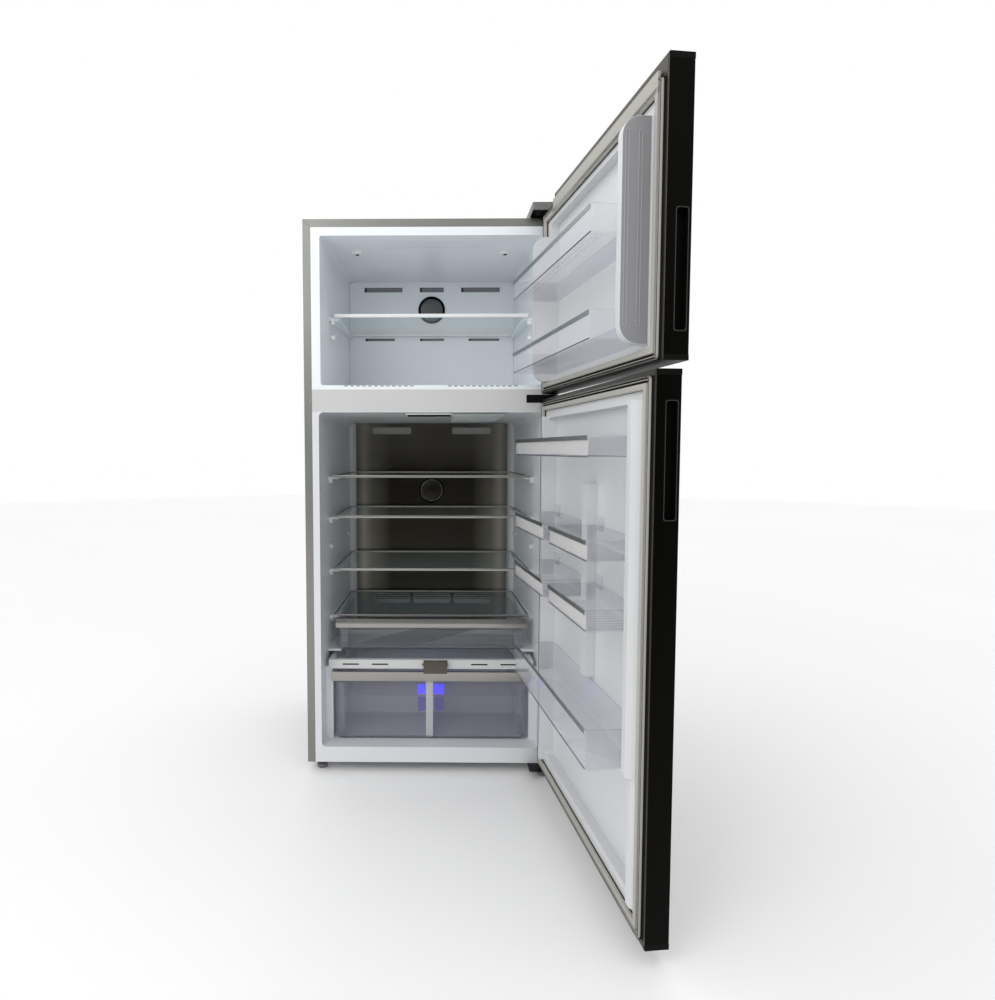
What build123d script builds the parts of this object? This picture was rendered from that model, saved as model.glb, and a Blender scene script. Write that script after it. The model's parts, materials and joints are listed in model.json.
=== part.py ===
from build123d import *
import math
import os

# Top freezer refrigerator with both doors standing open.
# Frame: X to the right, Y into the cabinet from its front face, Z up from the floor, millimetres.

# ---- driving dimensions ----
WIDTH = 840.0
HALF = WIDTH / 2
CABINET_TOP = 1854.0
CABINET_BOTTOM = 35.0
CABINET_DEPTH = 675.0
SHEET = 1.0
FRAME_WIDTH = 26.0
FRAME_X = HALF - FRAME_WIDTH
FRAME_TOP = CABINET_TOP - FRAME_WIDTH
WALL = 2.0

FREEZER_HALF, FREEZER_BACK_HALF = 365.0, 333.0
FREEZER_FLOOR, FREEZER_CEILING = 1316.0, 1801.0
FREEZER_BACK_FLOOR, FREEZER_BACK_CEILING = 1322.0, 1784.0
FREEZER_DEPTH = 612.0
FREEZER_FLANGE_BOTTOM = 1302.0
FREEZER_PANEL_Y = 545.0
FREEZER_PANEL_HALF = 321.5

FRIDGE_HALF, FRIDGE_BACK_HALF = 372.0, 346.0
FRIDGE_FLOOR, FRIDGE_CEILING, FRIDGE_BACK_CEILING = 88.0, 1227.0, 1212.0
FRIDGE_DEPTH = 590.0
FRIDGE_PANEL_Y = 566.0
FRIDGE_PANEL_HALF = 315.5
HUMP_LOW_Y, HUMP_LOW_Z = 305.0, 150.0
HUMP_Y, HUMP_SLOPE_Z, HUMP_TOP = 397.0, 205.0, 385.0
LEDGE_X, LEDGE_Y, LEDGE_TOP = 343.0, 72.0, 345.0

MACHINE_Y, MACHINE_TOP = 452.0, 330.0
BASE_TOP = CABINET_BOTTOM + 2.0

DOOR_GAP = 11.6
DOOR_THICKNESS = 53.6
DOOR_INNER = -DOOR_GAP
DOOR_OUTER = -DOOR_GAP - DOOR_THICKNESS
PIN_X, PIN_Y, PIN_R = 395.5, -39.0, 4.0
RUNNING = 0.05
FREEZER_OPEN, FRIDGE_OPEN = 97.4, 96.5
CAP = 12.0
NOTCH_U, NOTCH_DEPTH = 108.0, 26.5
GRIP_V0, GRIP_V1, GRIP_U = -58.7, -31.7, 818.0

SHELF_TOPS = (1013.0, 869.0, 680.0, 512.0)
SHELF_FRONT, SHELF_BACK = 136.0, 553.0
FREEZER_SHELF_TOP = 1575.0
GLASS = 4.0

FAN_Z = 1673.0
LAMP_X0, LAMP_X1, LAMP_Y0, LAMP_Y1 = 68.0, 252.0, 24.0, 380.0
LIGHT_HALF, LIGHT_START, LIGHT_LENGTH, LIGHT_RISE = 52.0, 10.0, 47.0, 4.0
COVER_FRONT, COVER_BACK, COVER_BOTTOM, COVER_TOP = 60.0, 390.0, 341.0, 372.0
DRAWER_FRONT = 68.0
LEFT_FOOT, RIGHT_FOOT = (-377.0, 40.0), (382.0, -10.0)
FOOT_R, STEM_R = 17.5, 5.0
ROLLER_X, ROLLER_Y, ROLLER_R, AXLE_R = 326.0, 610.0, 16.0, 4.0

BOSS_X, BOSS_Y, BOSS_R = 260.0, 170.0, 14.0
RETURN_SLOTS, RETURN_FIRST, RETURN_PITCH, RETURN_LENGTH = 12, 57.0, 19.8, 12.0
RETURN_DEPTH, RETURN_HEIGHT = 1.2, 3.0
STIFFENERS, STIFFENER_HALF, STIFFENER_LOW, STIFFENER_HIGH = (-300, -100, 100, 300), 12.0, 420.0, 1760.0
CHANNEL_HALF, CHANNEL_DEPTH, CHANNEL_LOW, CHANNEL_HIGH = 380.0, 14.0, 1240.0, 1290.0
PLUG_X, PLUG_R, PLUG_HEIGHTS = -401.5, 5.5, (1275.5, 1263.0)
UPPER_SLOTS, UPPER_SLOT_Z = ((-275, -120), (-49, 49), (120, 278)), (1745.0, 1764.0)
LOWER_SLOTS, LOWER_SLOT_Z = ((-272, -152), (-48, 51), (152, 277)), (1548.0, 1558.0)
TOP_VENTS, TOP_VENT_Z = ((-244, -88), (88, 244)), (1169.0, 1193.0)
GRILLES, GRILLE_Z = ((-240, -94), (-74, 76), (96, 246)), (455.0, 492.0)
FILTER_Z, FILTER_R = 933.0, 52.0
FAN_CAP_R, FAN_HOLE_R = 54.5, 48.0

PUMP_X, PUMP_Y, PUMP_R, PUMP_LOW, PUMP_HIGH = 190.0, 560.0, 88.0, 62.0, 232.0
COIL_X0, COIL_X1, COIL_Y0, COIL_Y1, COIL_LOW, COIL_HIGH = -340.0, -130.0, 486.0, 640.0, 56.0, 264.0
BLOWER_X, BLOWER_Y, BLOWER_Z, BLOWER_R = -62.0, 560.0, 150.0, 70.0
LEAD_Z, LEAD_R, COLLAR_R, FLANGE_R = 70.0, 4.5, 12.0, 17.0


# ---- helpers ----
def block(x0, x1, y0, y1, z0, z1):
    return Pos((x0 + x1) / 2, (y0 + y1) / 2, (z0 + z1) / 2) * Box(x1 - x0, y1 - y0, z1 - z0)


def rod_x(x0, x1, y, z, radius):
    return Pos((x0 + x1) / 2, y, z) * Rot(0, 90, 0) * Cylinder(radius, x1 - x0)


def rod_y(x, y0, y1, z, radius):
    return Pos(x, (y0 + y1) / 2, z) * Rot(90, 0, 0) * Cylinder(radius, y1 - y0)


def rod_z(x, y, z0, z1, radius):
    return Pos(x, y, (z0 + z1) / 2) * Cylinder(radius, z1 - z0)


def upright_outline(y, half, low, high, radius):
    plane = Plane(origin=(0, y, (low + high) / 2), x_dir=(1, 0, 0), z_dir=(0, 1, 0))
    return plane * RectangleRounded(2 * half, high - low, radius)


def rods(make, count):
    """Fuses the solids that make(0), make(1) and so on give."""
    fused = make(0)
    for index in range(1, count):
        fused += make(index)
    return fused


def across(points, x0, x1):
    """Prism along X whose outline is given as (y, z) points."""
    plane = Plane(origin=(x0, 0, 0), x_dir=(0, 1, 0), z_dir=(1, 0, 0))
    return extrude(plane * make_face(Polyline(*points, close=True)), x1 - x0)


def group(shapes):
    return Compound(children=list(shapes))


def save(name, shape):
    export_step(shape, f"parts/{name}.step")


# ---- cabinet spaces, each grown by the liner's wall where asked ----
def freezer_space(grow):
    front = upright_outline(0, FREEZER_HALF + grow, FREEZER_FLOOR - grow, FREEZER_CEILING + grow, 8 + grow)
    back = upright_outline(
        FREEZER_DEPTH + grow,
        FREEZER_BACK_HALF + grow,
        FREEZER_BACK_FLOOR - grow,
        FREEZER_BACK_CEILING + grow,
        14 + grow,
    )
    return loft([front, back], ruled=True)


def fridge_space(grow):
    front = upright_outline(0, FRIDGE_HALF + grow, FRIDGE_FLOOR - grow, FRIDGE_CEILING + grow, 16 + grow)
    back = upright_outline(
        FRIDGE_DEPTH + grow,
        FRIDGE_BACK_HALF + grow,
        FRIDGE_FLOOR - grow,
        FRIDGE_BACK_CEILING + grow,
        24 + grow,
    )
    space = loft([front, back], ruled=True)
    hump = (
        (HUMP_LOW_Y, 0),
        (HUMP_LOW_Y, HUMP_LOW_Z),
        (HUMP_Y, HUMP_SLOPE_Z),
        (HUMP_Y, HUMP_TOP),
        (700, HUMP_TOP),
        (700, 0),
    )
    space -= Pos(0, grow, -grow) * across(hump, -500, 500)
    for side in (-1, 1):
        near, far = sorted((side * (LEDGE_X + grow), side * 500))
        space -= block(near, far, LEDGE_Y + grow, 700, 0, LEDGE_TOP - grow)
    return space


def fridge_ceiling(y):
    return FRIDGE_CEILING - (FRIDGE_CEILING - FRIDGE_BACK_CEILING) * y / FRIDGE_DEPTH


def rails(inner_x, y0, y1, z0, z1, space):
    """One shelf rail on each side wall, trimmed to the middle of the liner's wall."""
    right = block(inner_x, 400, y0, y1, z0, z1) & space
    left = block(-400, -inner_x, y0, y1, z0, z1) & space
    return right + left


def stiffeners():
    """Upright ribs pressed into the back sheet, which the foam leaves room for."""
    back, front = CABINET_DEPTH - SHEET, CABINET_DEPTH - 4
    return [
        block(x - STIFFENER_HALF, x + STIFFENER_HALF, front, back, STIFFENER_LOW, STIFFENER_HIGH)
        for x in STIFFENERS
    ]


# ---- cabinet ----
def outer_shell():
    body = block(-HALF, HALF, 0, CABINET_DEPTH, CABINET_BOTTOM, CABINET_TOP)
    body = fillet(body.faces().sort_by(Axis.Z)[-1].edges().filter_by(Axis.Y), 2.5)
    inside = block(
        -HALF + SHEET, HALF - SHEET, SHEET, CABINET_DEPTH, CABINET_BOTTOM, CABINET_TOP - SHEET
    )
    inside = fillet(inside.faces().sort_by(Axis.Z)[-1].edges().filter_by(Axis.Y), 1.5)
    window = block(-FRAME_X, FRAME_X, 0, SHEET, CABINET_BOTTOM, FRAME_TOP)
    return body - inside - window


def back_sheet():
    """Rear sheet that folds forward over the machine compartment."""
    edge = HALF - SHEET
    upright = block(-edge, edge, CABINET_DEPTH - SHEET, CABINET_DEPTH, MACHINE_TOP, CABINET_TOP - 3)
    roof = block(-edge, edge, MACHINE_Y - SHEET, CABINET_DEPTH, MACHINE_TOP, MACHINE_TOP + SHEET)
    front = block(-edge, edge, MACHINE_Y - SHEET, MACHINE_Y, BASE_TOP, MACHINE_TOP + SHEET)
    sheet = upright + roof + front
    for rib in stiffeners():
        sheet += rib
    return sheet


def cabinet_foam():
    edge = HALF - SHEET
    foam = block(-edge, edge, WALL, CABINET_DEPTH - SHEET, BASE_TOP, CABINET_TOP - 3)
    foam -= freezer_space(WALL) + fridge_space(WALL)
    foam -= block(-edge, edge, MACHINE_Y - SHEET, CABINET_DEPTH, BASE_TOP, MACHINE_TOP + SHEET)
    foam -= block(-CHANNEL_HALF, CHANNEL_HALF, WALL, CHANNEL_DEPTH, CHANNEL_LOW, CHANNEL_HIGH)
    for rib in stiffeners():
        foam -= rib
    return foam


def freezer_liner():
    inside = freezer_space(0)
    liner = freezer_space(WALL) - inside
    liner += block(-FRAME_X, FRAME_X, 0, WALL, FREEZER_FLANGE_BOTTOM, FRAME_TOP) - inside
    middle = freezer_space(WALL / 2)
    liner += rails(322, 146, 522, FREEZER_SHELF_TOP - 20, FREEZER_SHELF_TOP - 9, middle)
    for x in (-BOSS_X, BOSS_X):
        liner += rod_z(x, BOSS_Y, 1788, 1798, BOSS_R) & middle
    top = FREEZER_FLOOR - 1
    for side in (-1, 1):
        for slot in range(RETURN_SLOTS):
            x = side * (RETURN_FIRST + RETURN_PITCH * slot)
            near, far = sorted((x, x + side * RETURN_LENGTH))
            liner -= block(near, far, -1, RETURN_DEPTH, top - RETURN_HEIGHT, top)
    return liner


def fridge_liner():
    inside = fridge_space(0)
    liner = fridge_space(WALL) - inside
    liner += block(-FRAME_X, FRAME_X, 0, WALL, CABINET_BOTTOM, FRIDGE_CEILING + WALL) - inside
    middle = fridge_space(WALL / 2)
    for top in SHELF_TOPS:
        liner += rails(331, 152, 538, top - 15, top - 7, middle)
    liner += rails(320, 112, 530, 387, 394.5, middle)
    return liner


def mullion_cover():
    cover = block(-FRAME_X, FRAME_X, 0, WALL, FRIDGE_CEILING + WALL, FREEZER_FLANGE_BOTTOM)
    for z in (CHANNEL_LOW, CHANNEL_HIGH - WALL):
        cover += block(-CHANNEL_HALF, CHANNEL_HALF, WALL, CHANNEL_DEPTH, z, z + WALL)
    return cover


def base_plate():
    edge = HALF - SHEET
    plate = block(-edge, edge, WALL, CABINET_DEPTH, CABINET_BOTTOM, BASE_TOP)
    plate -= rod_z(*LEFT_FOOT, 30, 40, STEM_R + RUNNING)
    for side in (-1, 1):
        for x in (side * (ROLLER_X - 26), side * (ROLLER_X + 26)):
            ear = block(x - 2, x + 2, ROLLER_Y - 12, ROLLER_Y + 12, 8, CABINET_BOTTOM)
            plate += ear - rod_x(x - 3, x + 3, ROLLER_Y, ROLLER_R, AXLE_R + RUNNING)
    return plate


def machine_cover():
    edge = HALF - SHEET - 0.5
    cover = block(-edge, edge, CABINET_DEPTH - SHEET, CABINET_DEPTH, BASE_TOP, MACHINE_TOP)
    for x in range(-330, 331, 60):
        for z in range(90, 271, 30):
            if abs(x) > 40:
                cover -= block(x - 22, x + 22, 670, 680, z, z + 10)
    cover -= rod_y(0, 670, 680, LEAD_Z, COLLAR_R + 0.35)
    return cover


def inlet_gland():
    flange = rod_y(0, CABINET_DEPTH - 8, CABINET_DEPTH - SHEET, LEAD_Z, FLANGE_R)
    neck = rod_y(0, CABINET_DEPTH - SHEET, CABINET_DEPTH, LEAD_Z, COLLAR_R + 0.3)
    return flange + neck - rod_y(0, 600, 700, LEAD_Z, LEAD_R)


def compressor():
    dome = rod_z(PUMP_X, PUMP_Y, PUMP_LOW, PUMP_HIGH, PUMP_R)
    dome = fillet(dome.edges().filter_by(GeomType.CIRCLE), 34)
    seam = rod_z(PUMP_X, PUMP_Y, 146, 152, PUMP_R + 4)
    plate = block(PUMP_X - 110, PUMP_X + 110, PUMP_Y - 60, PUMP_Y + 60, PUMP_LOW - 6, PUMP_LOW + 0.5)
    pump = dome + seam + plate
    for dx in (-95, 95):
        for dy in (-46, 46):
            pump += rod_z(PUMP_X + dx, PUMP_Y + dy, BASE_TOP, PUMP_LOW - 5, 11)
    terminal_box = block(PUMP_X - 124, PUMP_X - 84, PUMP_Y - 30, PUMP_Y + 30, 100, 160)
    return pump + terminal_box + rod_z(PUMP_X + 40, PUMP_Y - 30, 225, 262, 5)


def condenser_coil():
    def tube(index):
        row, line = divmod(index, 6)
        return rod_x(COIL_X0, COIL_X1, COIL_Y0 + 14 + 42 * row, COIL_LOW + 14 + 36 * line, 4)

    def fin(index):
        x = COIL_X0 + 10 + 14.5 * index
        return block(x, x + 1.2, COIL_Y0, COIL_Y1, COIL_LOW, COIL_HIGH)

    coil = rods(tube, 24) + rods(fin, 14)
    for x in (COIL_X0 + 4, COIL_X1 - 16):
        coil += block(x, x + 14, COIL_Y0, COIL_Y1, BASE_TOP, COIL_LOW + 0.5)
    return coil


def fan_blades(radius, hub, blades, thickness):
    """Axial fan on +Z with its hub centred on the origin."""
    fan = Cylinder(hub, thickness)
    blade = Pos((hub + radius) / 2, 0, 0) * Rot(28, 0, 0) * Box(radius - hub + 4, hub * 1.9, 1.6)
    for step in range(blades):
        fan += Rot(0, 0, 360 / blades * step) * blade
    return fan & Cylinder(radius, 200)


def condenser_fan():
    fan = fan_blades(BLOWER_R, 18, 5, 22) - Cylinder(2.5 + RUNNING, 200)
    return Pos(BLOWER_X, BLOWER_Y, BLOWER_Z) * Rot(0, 90, 0) * fan


def condenser_fan_motor():
    back = BLOWER_X + 54
    motor = rod_x(back - 36, back, BLOWER_Y, BLOWER_Z, 27)
    motor += rod_x(back - 64, back - 36, BLOWER_Y, BLOWER_Z, 2.5)
    post = block(back - 8, back, BLOWER_Y - 15, BLOWER_Y + 15, BASE_TOP, BLOWER_Z - 20)
    sole = block(back - 22, back + 18, BLOWER_Y - 40, BLOWER_Y + 40, BASE_TOP, BASE_TOP + 2)
    return motor + post + sole


def freezer_duct_panel():
    half, y = FREEZER_PANEL_HALF, FREEZER_PANEL_Y
    low, high = FREEZER_BACK_FLOOR + 2, 1783.0
    outlines = [upright_outline(depth, half, low, high, 14) for depth in (y, FREEZER_DEPTH - 4)]
    panel = loft(outlines, ruled=True)
    panel -= block(-half + WALL, half - WALL, y + WALL, 620, low + WALL, high - WALL)
    panel -= rod_y(0, y - 1, y + 3, FAN_Z, FAN_HOLE_R)
    for slots, (bottom, top) in ((UPPER_SLOTS, UPPER_SLOT_Z), (LOWER_SLOTS, LOWER_SLOT_Z)):
        for x0, x1 in slots:
            panel -= block(x0, x1, y - 1, y + 3, bottom, top)
    return panel


def freezer_fan_cap():
    y = FREEZER_PANEL_Y
    cap = rod_y(0, y - 5, y, FAN_Z, FAN_CAP_R) - rod_y(0, y - 6, y - 3, FAN_Z, FAN_HOLE_R - 1)
    return cap + rod_y(0, y, y + 2, FAN_Z, FAN_HOLE_R - 0.5)


def freezer_fan():
    fan = fan_blades(52, 15, 5, 16) - Cylinder(2.5 + RUNNING, 200)
    return Pos(0, 568, FAN_Z) * Rot(90, 0, 0) * fan


def freezer_fan_motor():
    motor = rod_y(0, 580, 604, FAN_Z, 22) + rod_y(0, 558, 580, FAN_Z, 2.5)
    return motor + block(-70, 70, 604, 608, FAN_Z - 18, FAN_Z + 18)


def evaporator():
    def tube(index):
        row, line = divmod(index, 5)
        return rod_x(-280, 280, 568 + 24 * row, 1350 + 42 * line, 4)

    def fin(index):
        x = -264 + 22.9 * index
        return block(x, x + 1.2, 556, 604, 1338, 1530)

    return rods(tube, 10) + rods(fin, 24)


def fridge_duct_panel():
    half, y = FRIDGE_PANEL_HALF, FRIDGE_PANEL_Y
    low, high = HUMP_TOP + 2, 1211.0
    panel = block(-half, half, y, FRIDGE_DEPTH - 1, low, high)
    panel -= block(-half + WALL, half - WALL, y + WALL, 600, low + WALL, high - WALL)
    panel -= rod_y(0, y - 1, y + 3, FILTER_Z, FILTER_R - 8)
    for slots, (bottom, top) in ((TOP_VENTS, TOP_VENT_Z), (GRILLES, GRILLE_Z)):
        for x0, x1 in slots:
            panel -= block(x0, x1, y - 1, y + 3, bottom, top)
    return panel


def air_filter_cap():
    y = FRIDGE_PANEL_Y
    cap = rod_y(0, y - 4, y, FILTER_Z, FILTER_R) - rod_y(0, y - 5, y - 2, FILTER_Z, FILTER_R - 6)
    neck = rod_y(0, y, y + 2, FILTER_Z, FILTER_R - 8.5)
    return cap + neck + rod_y(0, y - 3, y - 1.9, FILTER_Z, FILTER_R - 12)


def lamp_lens():
    front, back = fridge_ceiling(LAMP_Y0) - 0.1, fridge_ceiling(LAMP_Y1) - 0.1
    side = ((LAMP_Y0, front), (LAMP_Y1, back), (LAMP_Y1, back - 5), (LAMP_Y0, front - 5))
    return across(side, LAMP_X0, LAMP_X1)


def crisper_light():
    """Lamp window lying on the slope of the hump behind the crisper drawer."""
    slope = math.degrees(math.atan2(HUMP_SLOPE_Z - HUMP_LOW_Z, HUMP_Y - HUMP_LOW_Y))
    window = Box(2 * LIGHT_HALF, LIGHT_LENGTH, LIGHT_RISE)
    lens = Pos(0, LIGHT_LENGTH / 2 + LIGHT_START, LIGHT_RISE / 2) * window
    return Pos(0, HUMP_LOW_Y, HUMP_LOW_Z) * Rot(slope, 0, 0) * lens


# ---- shelves ----
def shelf_glass(front_half, back_half, top, front, back):
    near, far = front + 4, back - 4
    pane = Polyline((-front_half, near), (front_half, near), (back_half, far), (-back_half, far), close=True)
    return Pos(0, 0, top - 6) * extrude(make_face(pane), GLASS)


def shelf_trim(front_half, back_half, top, front, back):
    bars = block(-front_half - 2, front_half + 2, front, front + 14, top - 12, top)
    bars += block(-back_half, back_half, back - 12, back, top - 10, top)
    return bars


def fridge_shelves():
    glass, trims = [], []
    for top in SHELF_TOPS:
        pane = shelf_glass(349, 336, top, SHELF_FRONT, SHELF_BACK)
        glass.append(pane)
        for bar in (shelf_trim(349, 336, top, SHELF_FRONT, SHELF_BACK) - pane).solids():
            trims.append(bar)
    save("fridge_shelf_glass", group(glass))
    save("fridge_shelf_trims", group(trims))


def freezer_shelf():
    pane = shelf_glass(335, 326, FREEZER_SHELF_TOP, 128, 538)
    trims = shelf_trim(335, 322, FREEZER_SHELF_TOP, 128, 538) - pane
    save("freezer_shelf_glass", pane)
    save("freezer_shelf_trims", group(trims.solids()))


# ---- crisper cover, drawers and slider ----
def crisper_cover_frame():
    frame = block(-356, 356, COVER_FRONT, 71, COVER_BOTTOM, COVER_TOP)
    sides = Polyline((-356, 71), (356, 71), (350, COVER_BACK), (-350, COVER_BACK), close=True)
    frame += Pos(0, 0, LEDGE_TOP) * extrude(make_face(sides), COVER_TOP - LEDGE_TOP)
    frame -= block(-336, 336, 76, COVER_BACK - 12, 300, 400)
    frame -= block(-342, 342, 74, COVER_BACK - 6, 366, 370)
    for x0 in (-308, -206, 140, 242):
        frame -= block(x0, x0 + 58, 50, 76.5, 354, 358)
    frame -= block(-30, 60, 50, 76.5, 352, 360)
    return frame


def crisper_cover_glass():
    return block(-341.5, 341.5, 74.5, COVER_BACK - 6.5, 366, 370)


def humidity_slider():
    side = ((58, 371), (48, 371), (30, 356), (30, 333), (34, 333), (34, 352), (58, 352))
    knob = across(side, -25, 57)
    return knob + block(6, 26, 57, 74, 353, 359)


def tray(x0, x1, y0, y1, z0, z1, wall, radius):
    """Open tray with rounded upright corners."""
    outer = fillet(block(x0, x1, y0, y1, z0, z1).edges().filter_by(Axis.Z), radius)
    inner = block(x0 + wall, x1 - wall, y0 + wall, y1 - wall, z0 + wall, z1 + 5)
    return outer - fillet(inner.edges().filter_by(Axis.Z), radius - wall)


def chiller_drawer():
    return tray(-326, 326, 112, 520, 395, 488, 3, 10)


def chiller_handle():
    bar = block(-338, 338, 100, 112, 472, 506)
    return bar - block(-336, 336, 103, 112, 470, 502)


def crisper_body(inset):
    """Crisper outline, narrower towards the back and stepped over the machine compartment's hump."""
    front, low_back, back = DRAWER_FRONT + inset, 292 - inset, 378 - inset
    low, rim = 90 + inset, 330 if inset else 322
    side = ((front, low), (low_back, low), (low_back, 158), (back, 212), (back, rim), (front, rim))
    wide, narrow = 338 - inset, 300 - inset
    plan = Polyline((-wide, front), (wide, front), (narrow, 378 - inset), (-narrow, 378 - inset), close=True)
    body = Pos(0, 0, 80) * extrude(make_face(plan), 300)
    return fillet(body.edges().filter_by(Axis.Z), 14 - inset) & across(side, -400, 400)


def crisper_drawer():
    return crisper_body(0) - crisper_body(3)


def crisper_handle():
    bar = block(-347.5, 347.5, DRAWER_FRONT - 10, DRAWER_FRONT, 295, 330)
    return bar - block(-345, 345, DRAWER_FRONT - 7, DRAWER_FRONT, 290, 326)


def crisper_divider():
    post = block(-17, 8, DRAWER_FRONT + 3, DRAWER_FRONT + 11, 93, 300)
    return post + block(-6, -3, DRAWER_FRONT + 11, 289, 93, 300)


# ---- hinges, feet and rollers ----
def top_hinge():
    plate = block(332, 412, -56, 104, 1859, 1863) + block(332, 412, 6, 104, CABINET_TOP, 1859)
    return plate + rod_z(PIN_X, PIN_Y, 1849, 1859, PIN_R)


def top_hinge_cover():
    cover = block(322, 417, -60, 112, CABINET_TOP, 1884)
    cover = fillet(cover.edges().filter_by(Axis.Z), 6)
    cover -= block(325, 414.5, -57.5, 109, 1850, 1880)
    return cover - block(310, 425, -70, 0, 1850, 1860)


def middle_hinge():
    hinge = block(316, 412, -1.8, 0, 1258, 1284)
    hinge += block(378, 412, -54, -1, 1274, 1277.5)
    return hinge + rod_z(PIN_X, PIN_Y, 1258, 1294, PIN_R)


def bottom_hinge():
    hinge = block(330, 412, -54, 70, 31, CABINET_BOTTOM)
    hinge -= rod_z(*RIGHT_FOOT, 20, 40, STEM_R + RUNNING)
    return hinge + rod_z(PIN_X, PIN_Y, CABINET_BOTTOM, 50, PIN_R)


def hinge_plugs():
    plugs = [rod_y(PLUG_X, -1.2, 0, z, PLUG_R) for z in PLUG_HEIGHTS]
    for x in (PLUG_X, PLUG_X + 44):
        plugs.append(rod_z(x, 30, CABINET_TOP, CABINET_TOP + 1.5, PLUG_R))
    return group(plugs)


def foot(place):
    pad = rod_z(*place, 0, 14, FOOT_R)
    pad = chamfer(pad.edges().filter_by(GeomType.CIRCLE).sort_by(Axis.Z)[0], 2)
    return pad + rod_z(*place, 14, BASE_TOP - 1, STEM_R)


def rear_rollers():
    wheels = rod_x(-ROLLER_X - 36, ROLLER_X + 36, ROLLER_Y, ROLLER_R, AXLE_R)
    for x in (-ROLLER_X, ROLLER_X):
        wheels += rod_x(x - 12, x + 12, ROLLER_Y, ROLLER_R, ROLLER_R)
    return wheels


# ---- doors, modelled closed and then swung open ----
def swung(shape, angle):
    return Pos(PIN_X, PIN_Y, 0) * Rot(0, 0, angle) * Pos(-PIN_X, -PIN_Y, 0) * shape


def slab(u0, u1, v0, v1, z0, z1):
    """Block placed by its distance u from the hinge edge and its depth v."""
    return block(HALF - u1, HALF - u0, v0, v1, z0, z1)


def dyke_prism(points, z0, z1):
    outline = Polyline(*[(HALF - u, v) for u, v in points], close=True)
    return Pos(0, 0, z0) * extrude(make_face(outline), z1 - z0)


def rounded_rib(u0, u1, v_top, z0, z1, radius):
    rib = slab(u0, u1, -40, v_top, z0, z1)
    corners = rib.edges().filter_by(Axis.X).group_by(Axis.Y)[-1]
    return fillet(corners, radius)


def freezer_humps(grow):
    humps = rounded_rib(750 - grow, 768 + grow, 51 + grow, 1328 - grow, 1792 + grow, 40 + grow)
    humps += rounded_rib(62 - grow, 74 + grow, 40 + grow, 1320 - grow, 1762 + grow, 36 + grow)
    return humps


def fridge_humps(grow):
    tall = (
        (794 + grow, -40),
        (794 + grow, DOOR_INNER - WALL),
        (778 + grow, 13 + grow),
        (762 - grow, 13 + grow),
        (756 - grow, DOOR_INNER - WALL),
        (756 - grow, -40),
    )
    low = tuple((u, min(v, -2 + grow)) for u, v in tall)
    hinge_side = (
        (58 - grow, -40),
        (58 - grow, DOOR_INNER - WALL),
        (62 - grow, 5 + grow),
        (75 + grow, 5 + grow),
        (75 + grow, -40),
    )
    humps = dyke_prism(tall, 392 - grow, 1206 + grow) + dyke_prism(low, 96 - grow, 400)
    return humps + dyke_prism(hinge_side, 96 - grow, 1206 + grow)


class Door:
    def __init__(self, name, low, high, open_angle, humps, pan, grip, gasket, column=None):
        self.name, self.low, self.high, self.open_angle = name, low, high, open_angle
        self.humps, self.pan, self.grip, self.gasket, self.column = humps, pan, grip, gasket, column

    def save(self, part, shape):
        save(f"{self.name}_{part}", swung(shape, self.open_angle))


def pan_recess(door, shrink):
    u0, u1, z0, z1 = door.pan
    pan = slab(u0 + shrink, u1 - shrink, -40 + shrink, 60, z0 + shrink, z1 - shrink)
    pan = fillet(pan.edges().filter_by(Axis.Y), 16 - shrink)
    if door.column:
        c0, c1, low, high = door.column
        pan -= slab(c0 - shrink, c1 + shrink, -60, -8 + shrink, low - shrink, high + shrink)
    return pan


def notch(door, extra=0):
    if door.name != "freezer_door":
        return None
    return slab(-5, NOTCH_U + extra, -80, 20, door.high - NOTCH_DEPTH - extra, door.high + 5)


def grip_hole(door, grow):
    z0, z1 = door.grip
    return slab(GRIP_U - grow, 845, GRIP_V0 - grow, GRIP_V1 + grow, z0 - grow, z1 + grow)


def door_core(door, grow):
    inner = DOOR_INNER - WALL + grow
    core = slab(SHEET, WIDTH - SHEET, DOOR_OUTER + SHEET, inner, door.low + CAP, door.high - CAP)
    core += door.humps(grow)
    core -= pan_recess(door, grow)
    if notch(door):
        core -= notch(door, CAP)
    return core


def door_liner(door):
    liner = door_core(door, WALL) - door_core(door, 0)
    return liner & slab(14, 826, -80, 80, door.low + CAP, door.high - CAP)


def door_foam(door):
    return door_core(door, 0) - grip_hole(door, 2)


def door_skin(door):
    pan = slab(0, WIDTH, DOOR_OUTER, DOOR_INNER, door.low + CAP, door.high - CAP)
    pan = fillet(pan.edges().filter_by(Axis.Z).group_by(Axis.Y)[0], 2)
    pan -= slab(SHEET, WIDTH - SHEET, DOOR_OUTER + SHEET, DOOR_INNER - WALL, door.low, door.high)
    pan -= slab(14, 826, -20, 0, door.low, door.high)
    pan -= grip_hole(door, 2)
    if notch(door):
        pan -= notch(door, CAP)
    return pan


def door_grip(door):
    return (grip_hole(door, 2) - grip_hole(door, 0)) & slab(0, WIDTH, -80, 0, door.low, door.high)


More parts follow.
